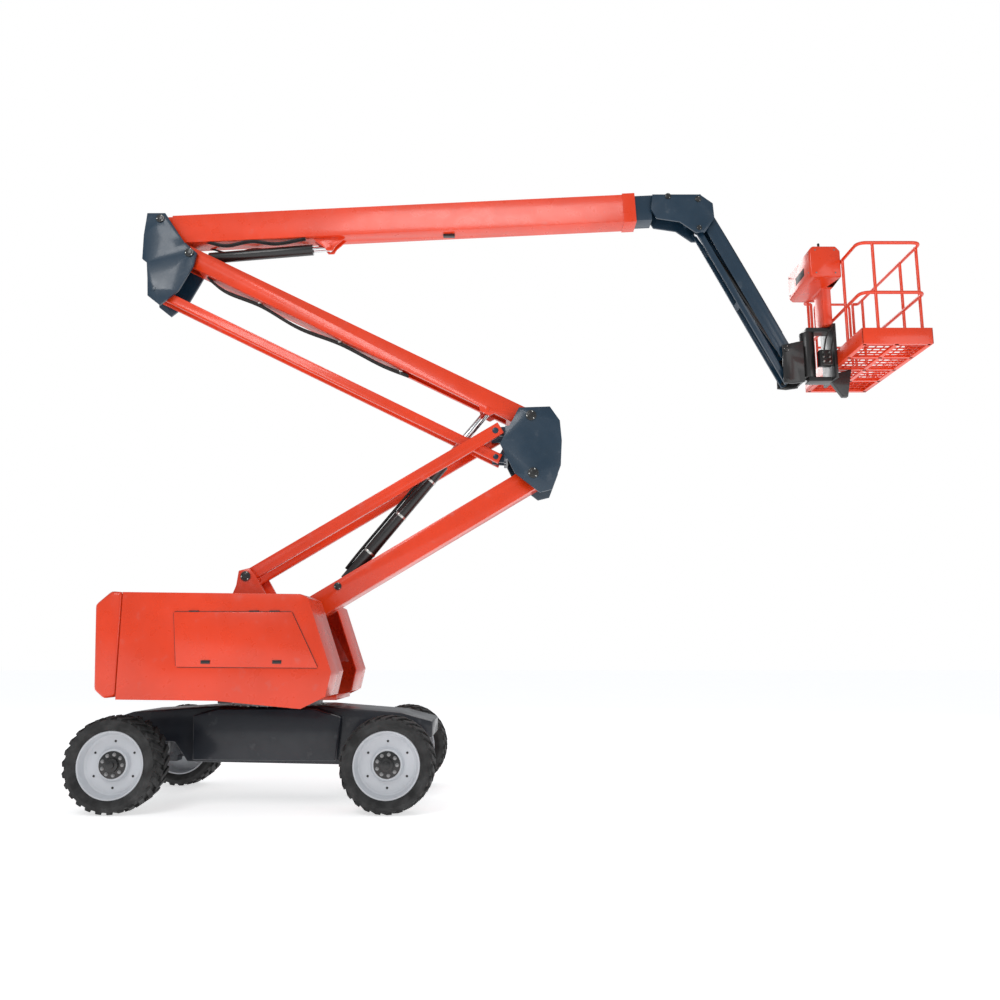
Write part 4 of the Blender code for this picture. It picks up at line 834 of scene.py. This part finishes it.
class BOOMLIFT_OT_hoses(bpy.types.Operator):
    """Runs black hydraulic hoses along the arms and cylinders"""

    bl_idname = "boomlift.hoses"
    bl_label = "Hoses"

    def execute(self, context):
        radius = context.scene.boomlift_sizes.hose_radius
        self.riser_hoses(radius)
        self.upper_arm_hoses(radius)
        self.boom_hoses(radius)
        self.jib_hoses(radius)
        self.platform_hoses(radius)
        return {"FINISHED"}

    def clamps(self, name, body, route, every, size):
        """Zinc clamps round a bundle, at every so many points of its route."""
        parts = []
        for before, after in zip(route[every::every], route[every + 1 :: every]):
            along = (after - before).normalized()
            parts.append(bevelled_rod(before - along * 0.012, before + along * 0.012, size, 16, 0.003))
        if parts:
            dress(joined(parts), name, body, "zinc")

    def bundle(self, name, body, points, radius, offsets):
        tubes = [
            swept(smooth_route([Vector(point) + Vector(offset) for point in points]), radius, resolution=3)
            for offset in offsets
        ]
        dress(joined(tubes), name, body, "hose_rubber")

    def riser_hoses(self, radius):
        start, slide = pivot("riser_barrel_swing"), Vector(joint("riser_rod_slide")["axis"]).normalized()
        across = Vector((-slide.z, 0, slide.x))
        reach, clamp_radius = 1.7, 0.0765
        points = [
            start + slide * 0.2 + across * 0.085, start + slide * 0.45 + across * 0.092,
            start + slide * reach * 0.6 + across * 0.092, start + slide * reach + across * 0.088,
        ]
        offsets = ((0, -0.028, 0), (0, 0, 0), (0, 0.028, 0))
        self.bundle("riser_hoses", "riser_barrel", points, radius, offsets)
        clamps = []
        for share in (0.3, 0.62, 0.93):
            centre = start + slide * reach * share
            start_edge, end_edge = centre - slide * 0.014, centre + slide * 0.014
            clamps.append(bevelled_rod(start_edge, end_edge, clamp_radius, 28, 0.003))
        dress(joined(clamps), "riser_hose_clamps", "riser_barrel", "zinc")

    def upper_arm_hoses(self, radius):
        """A loose bundle slung under the upper arm."""
        head, foot = pivot("upper_knuckle_level"), pivot("upper_arm_lift")
        along = (foot - head).normalized()
        below = Vector((along.z, 0, -along.x)) * (1 if along.x > 0 else -1)
        length = (foot - head).length
        sag = (
            (0.06, 0.14), (0.12, 0.19), (0.22, 0.16), (0.34, 0.2), (0.46, 0.155), (0.58, 0.17), (0.66, 0.145),
        )
        points = [head + along * length * share + below * drop for share, drop in sag]
        offsets = ((0, -0.05, 0), (0, -0.02, 0), (0, 0.01, 0.004), (0, 0.04, 0))
        self.bundle("upper_arm_hoses", "upper_arm", points, radius, offsets)
        clips = []
        for share in (0.22, 0.46, 0.64):
            centre = head + along * length * share + below * 0.142
            low, high = centre - Vector((0.02, 0.075, 0.012)), centre + Vector((0.02, 0.065, 0.012))
            clips.append(bevelled_box(low, high, 0.003))
        dress(joined(clips), "upper_arm_hose_clips", "upper_arm", "zinc")

    def boom_hoses(self, radius):
        """A short bundle under the boom, and the cable lug near its middle."""
        axis = Vector(joint("boom_extend")["axis"]).normalized()
        foot = pivot("boom_lift")
        below = Vector((axis.z, 0, -axis.x))
        sag = ((0.5, 0.27), (0.75, 0.34), (1.05, 0.3), (1.35, 0.345), (1.7, 0.3))
        points = [foot + axis * reach + below * drop for reach, drop in sag]
        self.bundle("boom_hoses", "boom", points, radius, ((0, -0.085, 0), (0, -0.11, 0.01), (0, 0.09, 0)))
        lug_reach, lug_drop = 3.42, 0.279
        start = foot + axis * lug_reach + below * lug_drop
        lug = bevelled_box(start - Vector((0.07, 0.03, 0.03)), start + Vector((0.07, 0.03, 0.02)), 0.006)
        dress(lug, "boom_cable_lug", "boom", "black_paint")

    def jib_hoses(self, radius):
        head, foot = pivot("jib_lift"), pivot("platform_level")
        along = (foot - head).normalized()
        above = Vector((-along.z, 0, along.x)) * (1 if along.z < 0 else -1)
        length = (foot - head).length
        lie = ((0.1, 0.093), (0.3, 0.098), (0.6, 0.098), (0.9, 0.094))
        points = [head + along * length * share + above * lift for share, lift in lie]
        self.bundle("jib_hoses", "jib", points, radius * 0.8, ((0, -0.05, 0), (0, -0.025, 0), (0, 0.0, 0)))

    def platform_hoses(self, radius):
        low, high = (Vector(corner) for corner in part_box("platform_bracket"))
        for index, bulge in enumerate((0.05, 0.08)):
            x = high.x - VALVE_BACK + VALVE_PITCH * index
            points = [
                (x, -0.23, low.z + 0.43), (x - 0.02, -0.25 - bulge, low.z + 0.5),
                (x + 0.03, -0.24 - bulge, low.z + 0.68), (high.x - 0.24, -0.21, low.z + 0.8),
            ]
            self.bundle(f"platform_hose_{index + 1}", "platform", points, radius * 0.8, ((0, 0, 0),))


class BOOMLIFT_OT_undercarriage(bpy.types.Operator):
    """Adds the slew ring's bolts and the covers in the middle of the axles"""

    bl_idname = "boomlift.undercarriage"
    bl_label = "Undercarriage"

    def execute(self, context):
        low, high = (Vector(corner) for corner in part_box("slew_ring"))
        centre = (low + high) / 2
        bolt_count, bolt_circle = 28, (high.x - low.x) / 2 + 0.025
        axle_height, cover_radius = 0.465, 0.062
        bolts = []
        for index in range(bolt_count):
            angle = math.tau * index / bolt_count
            x, y = centre.x + math.cos(angle) * bolt_circle, centre.y + math.sin(angle) * bolt_circle
            bolts.append(hex_bolt((x, y, low.z - 0.002), (0, 0, 1), 0.012))
        dress(joined(bolts), "slew_ring_bolts", "chassis", "zinc")
        for axle in ("steer", "drive"):
            box_low, box_high = (Vector(corner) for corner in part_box(f"{axle}_axle"))
            middle_x = (box_low.x + box_high.x) / 2
            covers = []
            for sign in (-1, 1):
                start = (middle_x + sign * 0.098, 0, axle_height)
                end = (middle_x + sign * 0.125, 0, axle_height)
                covers.append(bevelled_rod(start, end, cover_radius, 28, 0.006))
            dress(joined(covers), f"{axle}_axle_covers", "chassis", "chassis_paint")
        return {"FINISHED"}


class BOOMLIFT_OT_stage(bpy.types.Operator):
    """Lays the floor and sets the lights, the world and the camera"""

    bl_idname = "boomlift.stage"
    bl_label = "Stage"

    def execute(self, context):
        deselect()
        bpy.ops.mesh.primitive_plane_add(size=160.0, location=(0, 0, -0.001))
        floor = context.object
        floor.name = "studio_floor"
        material, nodes, links, shader = shader_of("studio_floor_paint", grey(0.9), 0.75)
        tone = add_noise(nodes, links, 0.6, 3.0)
        ramp = add_ramp(nodes, links, tone.outputs["Fac"], ((0.3, grey(0.885)), (0.7, grey(0.915))))
        links.new(ramp.outputs["Color"], shader.inputs["Base Color"])
        shader.inputs["Emission Color"].default_value = (1.0, 1.0, 1.0, 1.0)
        shader.inputs["Emission Strength"].default_value = 0.62
        floor.data.materials.append(material)
        world = bpy.data.worlds.new("studio_world")
        world.use_nodes = True
        nodes, links = world.node_tree.nodes, world.node_tree.links
        soft = nodes["Background"]
        soft.inputs["Color"].default_value = (0.93, 0.96, 1.0, 1.0)
        soft.inputs["Strength"].default_value = 0.42
        backdrop = nodes.new("ShaderNodeBackground")
        backdrop.inputs["Color"].default_value = (1.0, 1.0, 1.0, 1.0)
        rays, blend = nodes.new("ShaderNodeLightPath"), nodes.new("ShaderNodeMixShader")
        links.new(rays.outputs["Is Camera Ray"], blend.inputs["Fac"])
        links.new(soft.outputs["Background"], blend.inputs[1])
        links.new(backdrop.outputs["Background"], blend.inputs[2])
        links.new(blend.outputs["Shader"], nodes["World Output"].inputs["Surface"])
        context.scene.world = world
        context.scene.view_settings.view_transform = "Standard"
        lights = (
            ("key_light", (-6, -11, 12), 620),
            ("fill_light", (9, -10, 5), 180),
            ("rim_light", (2, 10, 10), 340),
        )
        lamp_size, aim = 6, Vector((0, 0, 3))
        for name, place, power in lights:
            bpy.ops.object.light_add(type="AREA", location=place)
            light = context.object
            light.name = name
            light.data.energy = power
            light.data.size = lamp_size
            light.rotation_euler = (aim - Vector(place)).to_track_quat("-Z", "Y").to_euler()
        bpy.ops.object.camera_add(location=(-0.217, -10.10, 1.524), rotation=(math.radians(99.85), 0, 0))
        camera = context.object
        camera.data.sensor_width = 36.0
        camera.data.lens = 32.09
        camera.data.clip_end = 300.0
        context.scene.camera = camera
        return {"FINISHED"}


class BOOMLIFT_PT_panel(bpy.types.Panel):
    """Sizes, colours and one button for each group of pieces"""

    bl_idname = "BOOMLIFT_PT_panel"
    bl_label = "Boom Lift"
    bl_space_type = "VIEW_3D"
    bl_region_type = "UI"
    bl_category = "Boom Lift"

    def draw(self, context):
        layout = self.layout
        for settings in (context.scene.boomlift_colours, context.scene.boomlift_sizes):
            for name in settings.__annotations__:
                layout.prop(settings, name)
        for operator in OPERATORS:
            layout.operator(operator.bl_idname)


OPERATORS = (
    BOOMLIFT_OT_steelwork, BOOMLIFT_OT_tyres, BOOMLIFT_OT_platform, BOOMLIFT_OT_pins, BOOMLIFT_OT_hoods,
    BOOMLIFT_OT_hoses, BOOMLIFT_OT_undercarriage, BOOMLIFT_OT_stage,
)
CLASSES = (BOOMLIFT_PG_colours, BOOMLIFT_PG_sizes, *OPERATORS, BOOMLIFT_PT_panel)


def register():
    for entry in CLASSES:
        bpy.utils.register_class(entry)
    bpy.types.Scene.boomlift_colours = bpy.props.PointerProperty(type=BOOMLIFT_PG_colours)
    bpy.types.Scene.boomlift_sizes = bpy.props.PointerProperty(type=BOOMLIFT_PG_sizes)


def unregister():
    del bpy.types.Scene.boomlift_sizes
    del bpy.types.Scene.boomlift_colours
    for entry in reversed(CLASSES):
        bpy.utils.unregister_class(entry)


def main():
    register()
    make_materials(bpy.context.scene.boomlift_colours)
    for operator in OPERATORS:
        group, name = operator.bl_idname.split(".")
        getattr(getattr(bpy.ops, group), name)()
    deselect()


if __name__ == "__main__":
    main()
